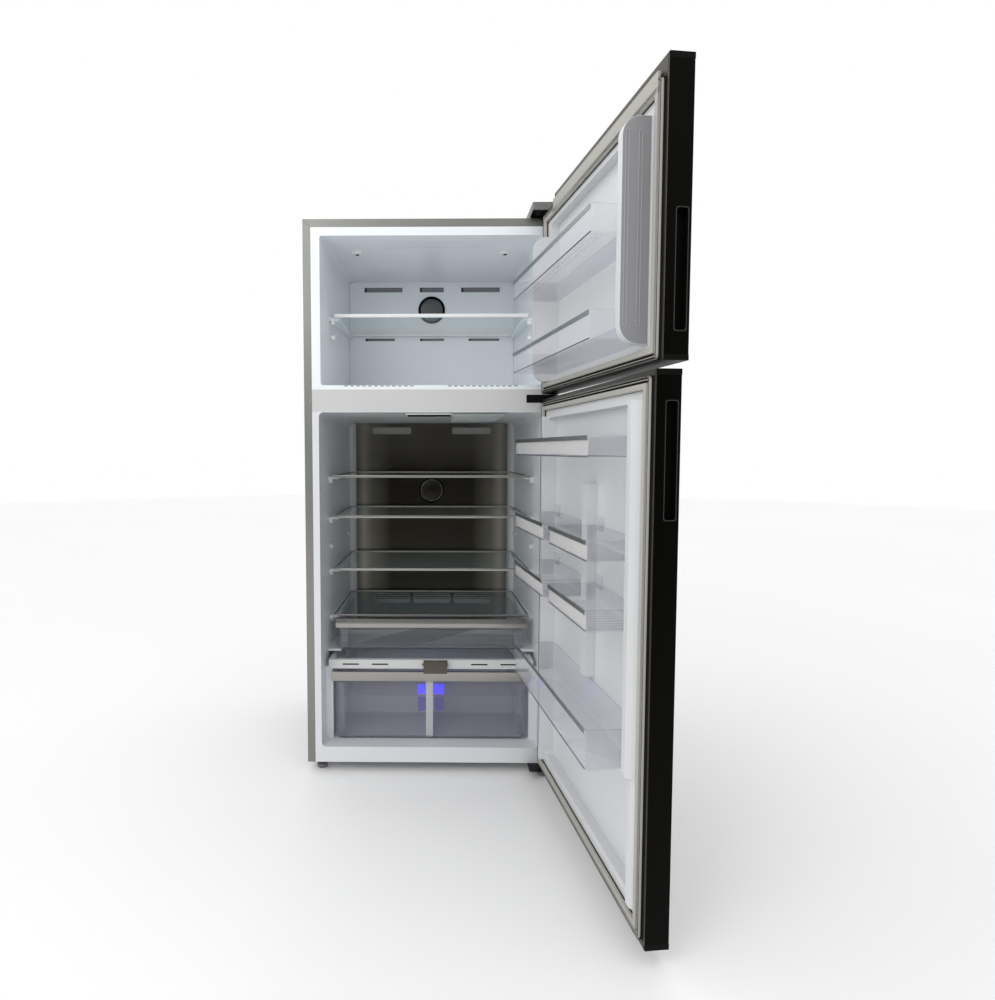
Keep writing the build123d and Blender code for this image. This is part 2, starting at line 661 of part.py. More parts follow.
def door_end_caps(door):
    inner = DOOR_INNER - 0.5
    caps = slab(0, WIDTH, DOOR_OUTER, inner, door.low, door.low + CAP)
    top = slab(0, WIDTH, DOOR_OUTER, inner, door.high - CAP, door.high)
    if notch(door):
        drop = door.high - NOTCH_DEPTH
        top -= notch(door)
        top += slab(0, NOTCH_U + CAP, DOOR_OUTER, inner, drop - CAP, drop)
        top += slab(NOTCH_U, NOTCH_U + CAP, DOOR_OUTER, inner, drop - CAP, door.high)
    bore = rod_z(PIN_X, PIN_Y, door.low - 1, door.low + CAP - 1, PIN_R + RUNNING)
    top_floor = door.high - (NOTCH_DEPTH if notch(door) else 0)
    bore_top = rod_z(PIN_X, PIN_Y, top_floor - CAP + 1, top_floor + 1, PIN_R + RUNNING)
    return group([caps - bore, top - bore_top])


def door_gasket(door):
    u0, u1, z0, z1 = door.gasket
    width, base, crest = 28.0, DOOR_INNER, -1.0
    ring = slab(u0, u1, base, base + 4, z0, z1) - slab(u0 + width, u1 - width, -20, 5, z0 + width, z1 - width)
    for inset, rib in ((0, 8.5), (13, 15)):
        outer = slab(u0 + inset, u1 - inset, base + 4, crest, z0 + inset, z1 - inset)
        gap = inset + rib
        ring += outer - slab(u0 + gap, u1 - gap, -20, 5, z0 + gap, z1 - gap)
    return ring


def door_bin(u0, u1, v0, v1, z0, z1):
    return tray(HALF - u1, HALF - u0, v0, v1, z0, z1, 2.5, 8)


def bin_trim(u0, u1, v_front, z_top):
    return slab(u0 + 8, u1 - 8, v_front, v_front + 2, z_top - 10, z_top)


FREEZER_DOOR = Door(
    "freezer_door",
    1284.2,
    1884.5,
    FREEZER_OPEN,
    freezer_humps,
    (74, 750, 1326, 1806),
    (1343.0, 1587.0),
    (19, 826, 1287, 1846),
)
FRIDGE_DOOR = Door(
    "fridge_door",
    40.0,
    1267.5,
    FRIDGE_OPEN,
    fridge_humps,
    (75, 756, 110, 1206),
    (958.5, 1204.0),
    (19, 826, 53, 1256),
    (404, 444, 500, 1011),
)
FREEZER_BINS = (("upper", 1564, 1623), ("lower", 1340, 1402))
FULL_BINS = ((78, 746, 1086, 1135, 96), (78, 746, 391, 484, 92))
HALF_BINS = tuple(
    (u0, u1, z0, z1, 95) for z0, z1 in ((858, 906), (703, 752)) for u0, u1 in ((78, 400), (448, 746))
)


def save_door(door):
    door.save("skin", door_skin(door))
    door.save("foam", door_foam(door))
    door.save("liner", door_liner(door))
    door.save("end_caps", door_end_caps(door))
    door.save("grip", door_grip(door))
    door.save("gasket", door_gasket(door))


def save_bins():
    trims = []
    for name, z0, z1 in FREEZER_BINS:
        tray_bin = door_bin(78, 746, -36, 108, z0, z1)
        save(f"freezer_{name}_bin", swung(tray_bin, FREEZER_OPEN))
        trims.append(swung(bin_trim(78, 746, 108, z1), FREEZER_OPEN))
    save("freezer_bin_trims", group(trims))
    full = [swung(door_bin(u0, u1, -36, v, z0, z1), FRIDGE_OPEN) for u0, u1, z0, z1, v in FULL_BINS]
    half = [swung(door_bin(u0, u1, -36, v, z0, z1), FRIDGE_OPEN) for u0, u1, z0, z1, v in HALF_BINS]
    trims = [swung(bin_trim(u0, u1, v, z1), FRIDGE_OPEN) for u0, u1, z0, z1, v in FULL_BINS + HALF_BINS]
    save("fridge_full_bins", group(full))
    save("fridge_half_bins", group(half))
    save("fridge_bin_trims", group(trims))


PLAIN_PARTS = (
    outer_shell, back_sheet, cabinet_foam, freezer_liner, fridge_liner, mullion_cover, base_plate,
    machine_cover, inlet_gland, compressor, condenser_coil, condenser_fan, condenser_fan_motor,
    freezer_duct_panel, freezer_fan_cap, freezer_fan, freezer_fan_motor, evaporator, fridge_duct_panel,
    air_filter_cap, lamp_lens, crisper_light, crisper_cover_frame, crisper_cover_glass, humidity_slider,
    chiller_drawer, chiller_handle, crisper_drawer, crisper_handle, crisper_divider, top_hinge,
    top_hinge_cover, middle_hinge, bottom_hinge, hinge_plugs, rear_rollers,
)

os.makedirs("parts", exist_ok=True)
for make in PLAIN_PARTS:
    save(make.__name__, make())
save("left_foot", foot(LEFT_FOOT))
save("right_foot", foot(RIGHT_FOOT))
fridge_shelves()
freezer_shelf()
save_door(FREEZER_DOOR)
save_door(FRIDGE_DOOR)
save_bins()
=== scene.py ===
import json
import math

import bmesh
import bpy
from mathutils import Matrix, Vector


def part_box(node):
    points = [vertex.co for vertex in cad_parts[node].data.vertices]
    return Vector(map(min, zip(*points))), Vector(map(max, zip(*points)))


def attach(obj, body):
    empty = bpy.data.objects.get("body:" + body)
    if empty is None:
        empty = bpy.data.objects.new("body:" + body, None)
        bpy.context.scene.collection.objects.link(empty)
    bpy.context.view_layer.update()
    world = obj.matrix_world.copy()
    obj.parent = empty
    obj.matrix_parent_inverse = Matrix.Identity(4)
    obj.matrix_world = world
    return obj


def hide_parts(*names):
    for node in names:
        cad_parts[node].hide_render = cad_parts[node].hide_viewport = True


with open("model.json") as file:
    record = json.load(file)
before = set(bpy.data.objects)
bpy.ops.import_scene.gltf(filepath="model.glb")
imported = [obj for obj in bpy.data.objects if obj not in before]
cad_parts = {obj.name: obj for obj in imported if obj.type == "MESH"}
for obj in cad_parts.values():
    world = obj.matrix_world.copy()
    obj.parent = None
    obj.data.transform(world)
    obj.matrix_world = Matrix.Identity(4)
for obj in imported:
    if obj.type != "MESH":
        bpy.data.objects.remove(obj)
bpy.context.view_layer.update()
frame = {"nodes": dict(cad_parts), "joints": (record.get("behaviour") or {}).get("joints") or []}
nodes = frame["nodes"]
joints = {joint["name"]: joint for joint in frame["joints"]}


# ---- camera, stage and light ----
EYE = Vector((0.0142, -2.1960, 1.1048))
EYE_YAW, EYE_PITCH, EYE_ROLL = -0.01171, 0.06063, -0.00028
LENS, SENSOR = 23.739, 36.0
SHIFT_X, SHIFT_Y = 0.0702, -0.0108


def add_camera():
    data = bpy.data.cameras.new("eye")
    data.lens = LENS
    data.sensor_width = SENSOR
    data.shift_x = SHIFT_X
    data.shift_y = SHIFT_Y
    data.clip_start = 0.05
    camera = bpy.data.objects.new("eye", data)
    bpy.context.scene.collection.objects.link(camera)
    camera.location = EYE
    camera.rotation_euler = (math.pi / 2 - EYE_PITCH, EYE_ROLL, -EYE_YAW)
    bpy.context.scene.camera = camera


def add_world():
    world = bpy.data.worlds.new("studio")
    bpy.context.scene.world = world
    world.use_nodes = True
    world.node_tree.nodes["Background"].inputs["Color"].default_value = (1.0, 1.0, 1.0, 1.0)
    world.node_tree.nodes["Background"].inputs["Strength"].default_value = 1.0
    bpy.context.scene.view_settings.view_transform = "Standard"


def add_softbox(name, place, target, size, power):
    data = bpy.data.lights.new(name, "AREA")
    data.shape = "RECTANGLE"
    data.size, data.size_y = size
    data.energy = power
    lamp = bpy.data.objects.new(name, data)
    bpy.context.scene.collection.objects.link(lamp)
    lamp.location = place
    lamp.rotation_euler = (Vector(target) - Vector(place)).to_track_quat("-Z", "Y").to_euler()


def add_flag():
    """Black card behind the camera that only reflections see."""
    bm = bmesh.new()
    bmesh.ops.create_grid(bm, x_segments=1, y_segments=1, size=1.0)
    bmesh.ops.scale(bm, vec=(2.0, 1.1, 1.0), verts=bm.verts)
    bmesh.ops.rotate(bm, matrix=Matrix.Rotation(math.pi / 2, 3, "X"), verts=bm.verts)
    bmesh.ops.translate(bm, vec=(0.2, -3.6, 1.15), verts=bm.verts)
    card = plain_object("black_card", bm, [finish("card_black", (0.004, 0.004, 0.004), 0.9)])
    card.visible_camera = False
    card.visible_diffuse = False
    card.visible_transmission = False
    card.visible_shadow = False


def add_floor():
    bm = bmesh.new()
    bmesh.ops.create_circle(bm, cap_ends=True, segments=96, radius=14.0)
    floor = plain_object("floor", bm, [floor_paint()])


# ---- node helpers ----
def finish(name, colour, roughness, metallic=0.0):
    """A plain starting shader that the finishes below add their detail to."""
    made = bpy.data.materials.new(name)
    made.use_nodes = True
    shader = made.node_tree.nodes["Principled BSDF"]
    shader.inputs["Base Color"].default_value = (*colour, 1.0)
    shader.inputs["Roughness"].default_value = roughness
    shader.inputs["Metallic"].default_value = metallic
    return made


def shader_of(made):
    return made.node_tree.nodes["Principled BSDF"]


def noise(made, scale, stretch=(1.0, 1.0, 1.0), detail=3.0):
    """Noise on Object coordinates, squeezed along each axis by stretch."""
    tree = made.node_tree
    place = tree.nodes.new("ShaderNodeTexCoord")
    mapping = tree.nodes.new("ShaderNodeMapping")
    mapping.inputs["Scale"].default_value = stretch
    tree.links.new(place.outputs["Object"], mapping.inputs["Vector"])
    texture = tree.nodes.new("ShaderNodeTexNoise")
    texture.inputs["Scale"].default_value = scale
    texture.inputs["Detail"].default_value = detail
    tree.links.new(mapping.outputs["Vector"], texture.inputs["Vector"])
    return texture.outputs["Fac"]


def ramp(made, source, low, high, start=0.3, end=0.7):
    """Colour that runs from low to high as source runs from start to end."""
    node = made.node_tree.nodes.new("ShaderNodeValToRGB")
    first, last = node.color_ramp.elements
    first.position, first.color = start, (*low, 1.0)
    last.position, last.color = end, (*high, 1.0)
    made.node_tree.links.new(source, node.inputs["Fac"])
    return node.outputs["Color"]


def vary_colour(made, source, low, high, start=0.3, end=0.7):
    made.node_tree.links.new(ramp(made, source, low, high, start, end), shader_of(made).inputs["Base Color"])


def vary_roughness(made, source, low, high):
    node = made.node_tree.nodes.new("ShaderNodeMapRange")
    node.inputs["To Min"].default_value = low
    node.inputs["To Max"].default_value = high
    made.node_tree.links.new(source, node.inputs["Value"])
    made.node_tree.links.new(node.outputs["Result"], shader_of(made).inputs["Roughness"])


def bumped(made, source, strength, distance):
    node = made.node_tree.nodes.new("ShaderNodeBump")
    node.inputs["Strength"].default_value = strength
    node.inputs["Distance"].default_value = distance
    made.node_tree.links.new(source, node.inputs["Height"])
    made.node_tree.links.new(node.outputs["Normal"], shader_of(made).inputs["Normal"])


def shade(colour, factor):
    return tuple(min(1.0, channel * factor) for channel in colour)


# ---- finishes ----
def brushed(name, colour, roughness, stretch, contrast=0.05, depth=0.00001):
    """Metal with fine lines along the axis whose stretch is small."""
    made = finish(name, colour, roughness, 1.0)
    lines = noise(made, 700.0, stretch, 2.0)
    vary_colour(made, lines, shade(colour, 1 - contrast), shade(colour, 1 + contrast))
    vary_roughness(made, noise(made, 5.0), roughness * 0.85, roughness * 1.2)
    bumped(made, lines, 0.2, depth)
    return made


def moulded(name, colour, roughness, grain=260.0, depth=0.00003, tone=0.96, shine=0.5):
    """Injection moulded or vacuum formed plastic: faint tone change, slight ripple in its gloss."""
    made = finish(name, colour, roughness)
    shader_of(made).inputs["Specular IOR Level"].default_value = shine
    vary_colour(made, noise(made, 2.2), shade(colour, tone), colour)
    vary_roughness(made, noise(made, 9.0), roughness * 0.85, roughness * 1.2)
    bumped(made, noise(made, grain), 0.25, depth)
    return made


def floor_paint():
    made = finish("floor_pale", (0.96, 0.96, 0.96), 0.6)
    vary_colour(made, noise(made, 0.6), (0.95, 0.95, 0.95), (0.97, 0.97, 0.97))
    return made


def see_through(name, tint, body_colour, body, edge, roughness=0.06, ripple=0.0):
    """Clear plastic or glass: tinted light straight through, and a glossy skin that shows more at a slant."""
    made = finish(name, body_colour, roughness)
    tree = made.node_tree
    clear = tree.nodes.new("ShaderNodeBsdfTransparent")
    clear.inputs["Color"].default_value = (*tint, 1.0)
    slant = tree.nodes.new("ShaderNodeLayerWeight")
    slant.inputs["Blend"].default_value = 0.35
    share = tree.nodes.new("ShaderNodeMapRange")
    share.inputs["To Min"].default_value = body
    share.inputs["To Max"].default_value = edge
    mix = tree.nodes.new("ShaderNodeMixShader")
    tree.links.new(slant.outputs["Facing"], share.inputs["Value"])
    tree.links.new(share.outputs["Result"], mix.inputs["Fac"])
    tree.links.new(clear.outputs["BSDF"], mix.inputs[1])
    tree.links.new(shader_of(made).outputs["BSDF"], mix.inputs[2])
    tree.links.new(mix.outputs["Shader"], tree.nodes["Material Output"].inputs["Surface"])
    vary_roughness(made, noise(made, 12.0), roughness * 0.7, roughness * 1.5)
    if ripple:
        bumped(made, noise(made, 38.0), 0.3, ripple)
    return made


def glowing(name, colour, strength):
    made = finish(name, colour, 0.3)
    shader = shader_of(made)
    shader.inputs["Emission Strength"].default_value = strength
    lines = noise(made, 60.0, (1.0, 1.0, 0.3))
    tint = ramp(made, lines, shade(colour, 0.5), colour)
    made.node_tree.links.new(tint, shader.inputs["Emission Color"])
    return made


def graded(made, axis, reach, stops):
    """Colour by distance from the origin along an axis. stops holds (metres, colour), within reach."""
    tree = made.node_tree
    place = tree.nodes.new("ShaderNodeTexCoord")
    parts = tree.nodes.new("ShaderNodeSeparateXYZ")
    size = tree.nodes.new("ShaderNodeMath")
    size.operation = "ABSOLUTE"
    scaled = tree.nodes.new("ShaderNodeMath")
    scaled.operation = "DIVIDE"
    scaled.inputs[1].default_value = reach
    tree.links.new(place.outputs["Object"], parts.inputs["Vector"])
    tree.links.new(parts.outputs[axis], size.inputs[0])
    tree.links.new(size.outputs["Value"], scaled.inputs[0])
    node = tree.nodes.new("ShaderNodeValToRGB")
    for index, (distance, colour) in enumerate(stops):
        if index < 2:
            stop = node.color_ramp.elements[index]
            stop.position = distance / reach
        else:
            stop = node.color_ramp.elements.new(distance / reach)
        stop.color = (*colour, 1.0)
    tree.links.new(scaled.outputs["Value"], node.inputs["Fac"])
    return node.outputs["Color"]


def duct_steel():
    """Dark brown brushed panel with painted shade and painted reflections: deepest in the middle, lighter
    towards its bent sides, where the white side walls are painted in as reflections, and lighter towards its
    head.
    """
    made = brushed("duct_dark_steel", (0.16, 0.135, 0.105), 0.34, (1.0, 1.0, 0.01))
    # Painted shade by height: deepest in the middle, lighter at the head.
    low, deep, head = (0.055, 0.050, 0.042), (0.038, 0.034, 0.026), (0.15, 0.138, 0.12)
    middle = graded(made, "Z", 1.3, ((0.45, low), (0.95, deep), (1.03, (0.06, 0.054, 0.043)), (1.12, head)))
    # Painted reflections of the white side walls: pale bands towards the panel's sides.
    reflection_bands = ((0.17, 0.0), (0.25, 0.4), (0.285, 1.0), (0.312, 0.45))
    share = graded(made, "X", 0.5, [(place, (amount,) * 3) for place, amount in reflection_bands])
    mix = made.node_tree.nodes.new("ShaderNodeMixRGB")
    mix.inputs[2].default_value = (0.42, 0.39, 0.34, 1.0)
    made.node_tree.links.new(share, mix.inputs[0])
    made.node_tree.links.new(middle, mix.inputs[1])
    made.node_tree.links.new(mix.outputs[0], shader_of(made).inputs["Base Color"])
    return made


def shell_steel():
    """Brushed cabinet steel whose tone shifts with height as painted shade: darker towards its foot and its
    head than at its waist.
    """
    made = brushed("shell_steel", (0.36, 0.36, 0.345), 0.42, (1.0, 1.0, 0.02), 0.03)
    # Painted shade: darker at the foot and the head, lighter at the waist.
    foot, waist, head = (0.28, 0.28, 0.266), (0.36, 0.36, 0.343), (0.26, 0.26, 0.248)
    tone = graded(made, "Z", 2.0, ((0.1, foot), (0.75, waist), (1.7, head)))
    made.node_tree.links.new(tone, shader_of(made).inputs["Base Color"])
    return made


LINER = moulded("liner_white", (0.72, 0.74, 0.762), 0.32, depth=0.000008)
# Painted light: the freezer's white liner plastic, painted lighter and bluer than the fridge's liner to stand
# in for the light inside the freezer.
FREEZER_LIT_WHITE = moulded("freezer_white_painted_light", (0.86, 0.90, 0.935), 0.32, depth=0.000008)
FRONT_WHITE = moulded("front_white", (0.60, 0.605, 0.60), 0.34, 180.0, 0.00001)
BRIGHT_WHITE = moulded("trim_bright_white", (0.86, 0.87, 0.87), 0.3)
DOOR_WHITE = moulded("door_liner_white", (0.68, 0.69, 0.705), 0.32, depth=0.000008)
SHELL_STEEL = shell_steel()
TRIM_STEEL = brushed("trim_steel", (0.50, 0.50, 0.485), 0.3, (0.015, 1.0, 1.0))
HANDLE_STEEL = brushed("handle_steel", (0.40, 0.39, 0.37), 0.3, (0.01, 1.0, 1.0), 0.04)
BIN_STEEL = brushed("bin_trim_grey", (0.38, 0.41, 0.41), 0.38, (1.0, 1.0, 0.05))
DUCT_STEEL = duct_steel()
# Painted reflection: the door skin's own dark steel, painted lighter where its folded edge shows round the
# seal.
BORDER_STEEL_REFLECTION = brushed("door_border_steel_painted_reflection", (0.10, 0.094, 0.08), 0.36, (1.0, 1.0, 0.01))
DOOR_STEEL = brushed("door_dark_steel", (0.0058, 0.0056, 0.005), 0.34, (1.0, 1.0, 0.01))
CAP_BLACK = moulded("cap_black", (0.0045, 0.0045, 0.004), 0.42, 420.0, 0.00005, shine=0.06)
# Painted highlight on the finger recess rims, lighter than the black caps, and painted shade at the dark left
# end of each freezer air slot.
RIM_HIGHLIGHT_AND_END_SHADE = moulded("grip_rim_highlight_and_slot_end_shade", (0.05, 0.05, 0.047), 0.35, 420.0, 0.00005, shine=0.2)
DISC_GREY = brushed("disc_grey", (0.16, 0.16, 0.155), 0.4, (0.05, 1.0, 1.0))
HINGE_BLACK = moulded("hinge_black", (0.006, 0.006, 0.006), 0.38, 300.0, 0.00006, shine=0.15)
COVER_GREY = moulded("cover_grey", (0.17, 0.165, 0.155), 0.4, 260.0, 0.00006)
ZINC = moulded("back_zinc", (0.42, 0.43, 0.44), 0.45, 40.0, 0.00006, 0.85)
FOAM = moulded("foam_yellow", (0.78, 0.70, 0.42), 0.9, 120.0, 0.0006, 0.8)
ENAMEL = moulded("enamel_black", (0.014, 0.014, 0.015), 0.22, 60.0, 0.00008)
FINS = brushed("fin_aluminium", (0.62, 0.62, 0.62), 0.35, (1.0, 1.0, 0.05))
WIRE_BLACK = moulded("condenser_black", (0.02, 0.02, 0.02), 0.6)
SEAL_FLANGE = moulded("seal_flange", (0.42, 0.41, 0.375), 0.5, 500.0, 0.00005)
SEAL_LIP = moulded("seal_lip", (0.40, 0.39, 0.36), 0.55, 500.0, 0.00005)
# Painted shade: near black for the grooves between the seal's lips and for the step beside the door's handle
# edge.
SEAL_GROOVE_SHADE = moulded("seal_groove_painted_shade", (0.012, 0.012, 0.011), 0.7, 500.0, 0.00005, shine=0.1)
FOOT_GREY = moulded("foot_grey", (0.16, 0.16, 0.16), 0.6)
NYLON = moulded("roller_nylon", (0.5, 0.5, 0.48), 0.55)
BRONZE = brushed("slider_bronze", (0.135, 0.122, 0.10), 0.38, (0.02, 1.0, 1.0))
PALE_MARK = moulded("pale_mark", (0.66, 0.66, 0.62), 0.4)
# Near black for the fine mitre seams, and painted shade filling holes, slots and grille backs that are dark
# because they lie in shade.
SEAM_DARK_AND_SLOT_SHADE = moulded("seam_dark_and_slot_painted_shade", (0.015, 0.015, 0.015), 0.7, shine=0.1)
SLOT_GREY = moulded("slot_grey", (0.24, 0.25, 0.27), 0.6)
VENT_GREY = moulded("vent_grey", (0.34, 0.335, 0.32), 0.5)
# Painted shade: the door liner's white on the side of the freezer door's hump, painted grey, and its beads a
# lighter grey as painted highlights.
DYKE_SHADED_WHITE = moulded("dyke_side_painted_shade", (0.27, 0.272, 0.285), 0.45)
DYKE_BEAD_SHADED_WHITE = moulded("dyke_bead_painted_shade_and_highlight", (0.37, 0.37, 0.385), 0.4)
GLASS = see_through("shelf_glass", (0.965, 0.98, 0.975), (0.62, 0.72, 0.72), 0.006, 0.13, 0.03)
GLASS_EDGE = see_through("glass_edge", (0.20, 0.28, 0.28), (0.05, 0.07, 0.075), 0.8, 0.95, 0.1)
CLEAR = see_through("clear_plastic", (0.985, 0.985, 0.99), (0.70, 0.71, 0.76), 0.03, 0.34, 0.05, 0.00005)
CLEAR_EDGE = see_through("clear_edge", (0.82, 0.82, 0.85), (0.48, 0.48, 0.53), 0.24, 0.55, 0.12)
CRISPER_CLEAR = see_through(
    "crisper_clear", (0.97, 0.97, 0.985), (0.62, 0.62, 0.70), 0.085, 0.32, 0.06, 0.00005
)
SHADOW_EDGE = see_through("clear_edge_shadow", (0.35, 0.36, 0.50), (0.025, 0.027, 0.06), 0.75, 0.9, 0.12)
# Painted reflection: a bright champagne film standing in for reflections on the clear bin fronts.
BIN_FRONT_REFLECTION = see_through("bin_front_painted_reflection", (0.95, 0.94, 0.92), (0.86, 0.84, 0.79), 0.42, 0.75, 0.14)
LENS_FROST = see_through("lens_frost", (0.86, 0.89, 0.89), (0.66, 0.70, 0.70), 0.55, 0.85, 0.35)
BLUE_GLOW = glowing("blue_glow", (0.03, 0.02, 1.0), 2.6)
# Painted reflection: a faint glow on the surface below the crisper lamp's windows, where the lamp's light
# falls.
BLUE_LAMP_REFLECTION = glowing("blue_painted_lamp_reflection", (0.08, 0.05, 0.50), 0.40)
DIVIDER = moulded("divider_white", (0.66, 0.66, 0.64), 0.35)

NODE_FINISH = {
    SHELL_STEEL: ("outer_shell",),
    ZINC: ("back_sheet", "base_plate", "machine_cover"),
    FOAM: ("cabinet_foam", "freezer_door_foam", "fridge_door_foam"),
    FREEZER_LIT_WHITE: ("freezer_liner", "freezer_duct_panel"),
    LINER: ("fridge_liner",),
    FRONT_WHITE: ("mullion_cover", "crisper_cover_frame"),
    DOOR_WHITE: ("freezer_door_liner", "fridge_door_liner"),
    CAP_BLACK: ("freezer_door_end_caps", "fridge_door_end_caps", "freezer_door_grip", "fridge_door_grip"),
    HINGE_BLACK: ("top_hinge", "middle_hinge", "bottom_hinge", "inlet_gland"),
    ENAMEL: ("compressor",),
    WIRE_BLACK: (
        "condenser_coil", "condenser_fan", "condenser_fan_motor", "freezer_fan", "freezer_fan_motor",
    ),
    FINS: ("evaporator",),
    DUCT_STEEL: ("fridge_duct_panel",),
    GLASS: ("crisper_cover_glass", "freezer_shelf_glass", "fridge_shelf_glass"),
    BIN_STEEL: ("freezer_bin_trims", "fridge_bin_trims"),
    DOOR_STEEL: ("freezer_door_skin", "fridge_door_skin"),
    NYLON: ("rear_rollers",),
    DIVIDER: ("crisper_divider",),
    CRISPER_CLEAR: ("crisper_drawer",),
    BRONZE: ("humidity_slider",),
    COVER_GREY: ("top_hinge_cover",),
}


def paint_nodes():
    for paint, names in NODE_FINISH.items():
        for name in names:
            for place in nodes[name].material_slots:
                place.link = "OBJECT"
                place.material = paint


# ---- mesh helpers ----
def plain_object(name, bm, finishes, smooth_angle=35.0):
    mesh = bpy.data.meshes.new(name)
    bm.to_mesh(mesh)
    bm.free()
    for paint in finishes:
        mesh.materials.append(paint)
    mesh.shade_smooth()
    mesh.set_sharp_from_angle(angle=math.radians(smooth_angle))
    made = bpy.data.objects.new(name, mesh)
    bpy.context.scene.collection.objects.link(made)
    return made


def piece(name, bm, finishes, body, stands_for=(), bevel=0.0):
    """A finished piece of the fridge that rides on one body."""
    made = plain_object(name, bm, finishes if isinstance(finishes, list) else [finishes])
    if bevel:
        add_bevel(made, bevel)
    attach(made, body)
    if stands_for:
        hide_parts(*stands_for)
    return made


def add_bevel(made, width, segments=2):
    edge = made.modifiers.new("soft_edge", "BEVEL")
    edge.width = width
    edge.segments = segments
    edge.limit_method = "ANGLE"
    edge.angle_limit = math.radians(40)
    edge.harden_normals = True


def soften(name, width, segments=2):
    """Rounded edges on a carried-over node."""
    made = nodes[name]
    weld = made.modifiers.new("weld", "WELD")
    weld.merge_threshold = 0.00001
    add_bevel(made, width, segments)


def block(bm, low, high, radius=0.0, segments=3, along=None):
    """Box between two corners, with its edges rounded: all of them, or those parallel to the axis along."""
    low, high = Vector(low), Vector(high)
    size = high - low
    place = Matrix.Translation((low + high) / 2) @ Matrix.Diagonal((*size, 1.0))
    verts = bmesh.ops.create_cube(bm, size=1.0, matrix=place)["verts"]
    if radius:
        edges = list(dict.fromkeys(edge for vert in verts for edge in vert.link_edges))
        if along is not None:
            edges = [e for e in edges if abs((e.verts[0].co - e.verts[1].co).normalized()[along]) > 0.9]
        round_edges(bm, edges, radius, segments)
    return bm


def round_edges(bm, edges, radius, segments=3):
    bmesh.ops.bevel(
        bm, geom=edges, offset=radius, affect="EDGES", segments=segments, profile=0.5, material=-1
    )


def merge(bm, part):
    scratch = bpy.data.meshes.new("scratch")
    part.to_mesh(scratch)
    part.free()
    bm.from_mesh(scratch)
    bpy.data.meshes.remove(scratch)


def rod(bm, start, end, radius, segments=20):
    start, end = Vector(start), Vector(end)
    turn = (end - start).to_track_quat("Z", "Y").to_matrix().to_4x4()
    place = Matrix.Translation((start + end) / 2) @ turn
    bmesh.ops.create_cone(
        bm,
        cap_ends=True,
        segments=segments,
        radius1=radius,
        radius2=radius,
        depth=(end - start).length,
        matrix=place,
    )


def spun(profile, centre, axis, steps=72):
    """Solid of revolution. profile is a closed outline of (radius, height) points round axis at centre."""
    bm = bmesh.new()
    across = Vector((0, 0, 1)) if abs(axis[2]) < 0.5 else Vector((1, 0, 0))
    along = Vector(axis)
    verts = [bm.verts.new(Vector(centre) + across * r + along * h) for r, h in profile]
    edges = [bm.edges.new((a, b)) for a, b in zip(verts, verts[1:] + verts[:1])]
    bmesh.ops.spin(
        bm, geom=verts + edges, cent=centre, axis=axis, angle=2 * math.pi, steps=steps, use_merge=True
    )
    bmesh.ops.remove_doubles(bm, verts=bm.verts, dist=0.00001)
    bmesh.ops.recalc_face_normals(bm, faces=bm.faces)
    return bm


def ring_plate(bm, low, high, y, width, depth, radius):
    """Upright rounded frame, width wide, standing depth proud of the plane y towards the front."""
    part = bmesh.new()
    block(part, (low[0], y - depth, low[1]), (high[0], y, high[1]), radius, 4, along=1)
    part.normal_update()
    caps = [face for face in part.faces if abs(face.normal.y) > 0.9]
    bmesh.ops.inset_region(part, faces=caps, thickness=width, use_even_offset=True)
    rims = list(dict.fromkeys(edge for face in caps for edge in face.edges))
    bmesh.ops.delete(part, geom=caps, context="FACES_ONLY")
    bmesh.ops.bridge_loops(part, edges=rims)
    bmesh.ops.recalc_face_normals(part, faces=part.faces)
    merge(bm, part)


def bar(bm, outline, x0, x1):
    """Bar along X whose section is given as (y, z) points."""
    verts = [bm.verts.new((x0, y, z)) for y, z in outline]
    face = bm.faces.new(verts)
    grown = bmesh.ops.extrude_face_region(bm, geom=[face], use_keep_orig=True)["geom"]
    far = [v for v in grown if isinstance(v, bmesh.types.BMVert)]
    bmesh.ops.translate(bm, vec=(x1 - x0, 0, 0), verts=far)
    bmesh.ops.recalc_face_normals(bm, faces=bm.faces)


def islands(name, turn=None):
    """(low, high) of each separate solid of a node, after turn."""
    bm = bmesh.new()
    bm.from_mesh(nodes[name].data)
    if turn:
        bm.transform(turn)
    bmesh.ops.remove_doubles(bm, verts=bm.verts, dist=0.00001)
    left, boxes = set(bm.verts), []
    while left:
        group, todo = set(), [left.pop()]
        while todo:
            vert = todo.pop()
            group.add(vert)
            near = {e.other_vert(vert) for e in vert.link_edges} & left
            left -= near
            todo += near
        low = Vector(min(v.co[i] for v in group) for i in range(3))
        high = Vector(max(v.co[i] for v in group) for i in range(3))
        boxes.append((low, high))
    bm.free()
    return sorted(boxes, key=lambda box: (-round(box[1].z, 3), round(box[0].x, 3)))


class Leaf:
    """One door: its body, and the turn from shut to its place at rest."""

    def __init__(self, body):
        joint = joints[body + "_hinge"]
        self.body = body
        pin = Matrix.Translation(Vector(joint["pos_m"]))
        self.opened = pin @ Matrix.Rotation(-math.radians(joint["range_deg"][0]), 4, "Z") @ pin.inverted()
        self.shut = self.opened.inverted()

    def box(self, name):
        boxes = islands(name, self.shut)
        low = Vector(min(b[0][i] for b in boxes) for i in range(3))
        high = Vector(max(b[1][i] for b in boxes) for i in range(3))
        return low, high

    def piece(self, name, bm, finishes, slot, stands_for=(), bevel=0.0):
        """bm holds the piece as it sits on the shut door."""
        bm.transform(self.opened)
        return piece(name, bm, finishes, self.body, stands_for, bevel)


FREEZER_LEAF, FRIDGE_LEAF = Leaf("freezer_door"), Leaf("fridge_door")

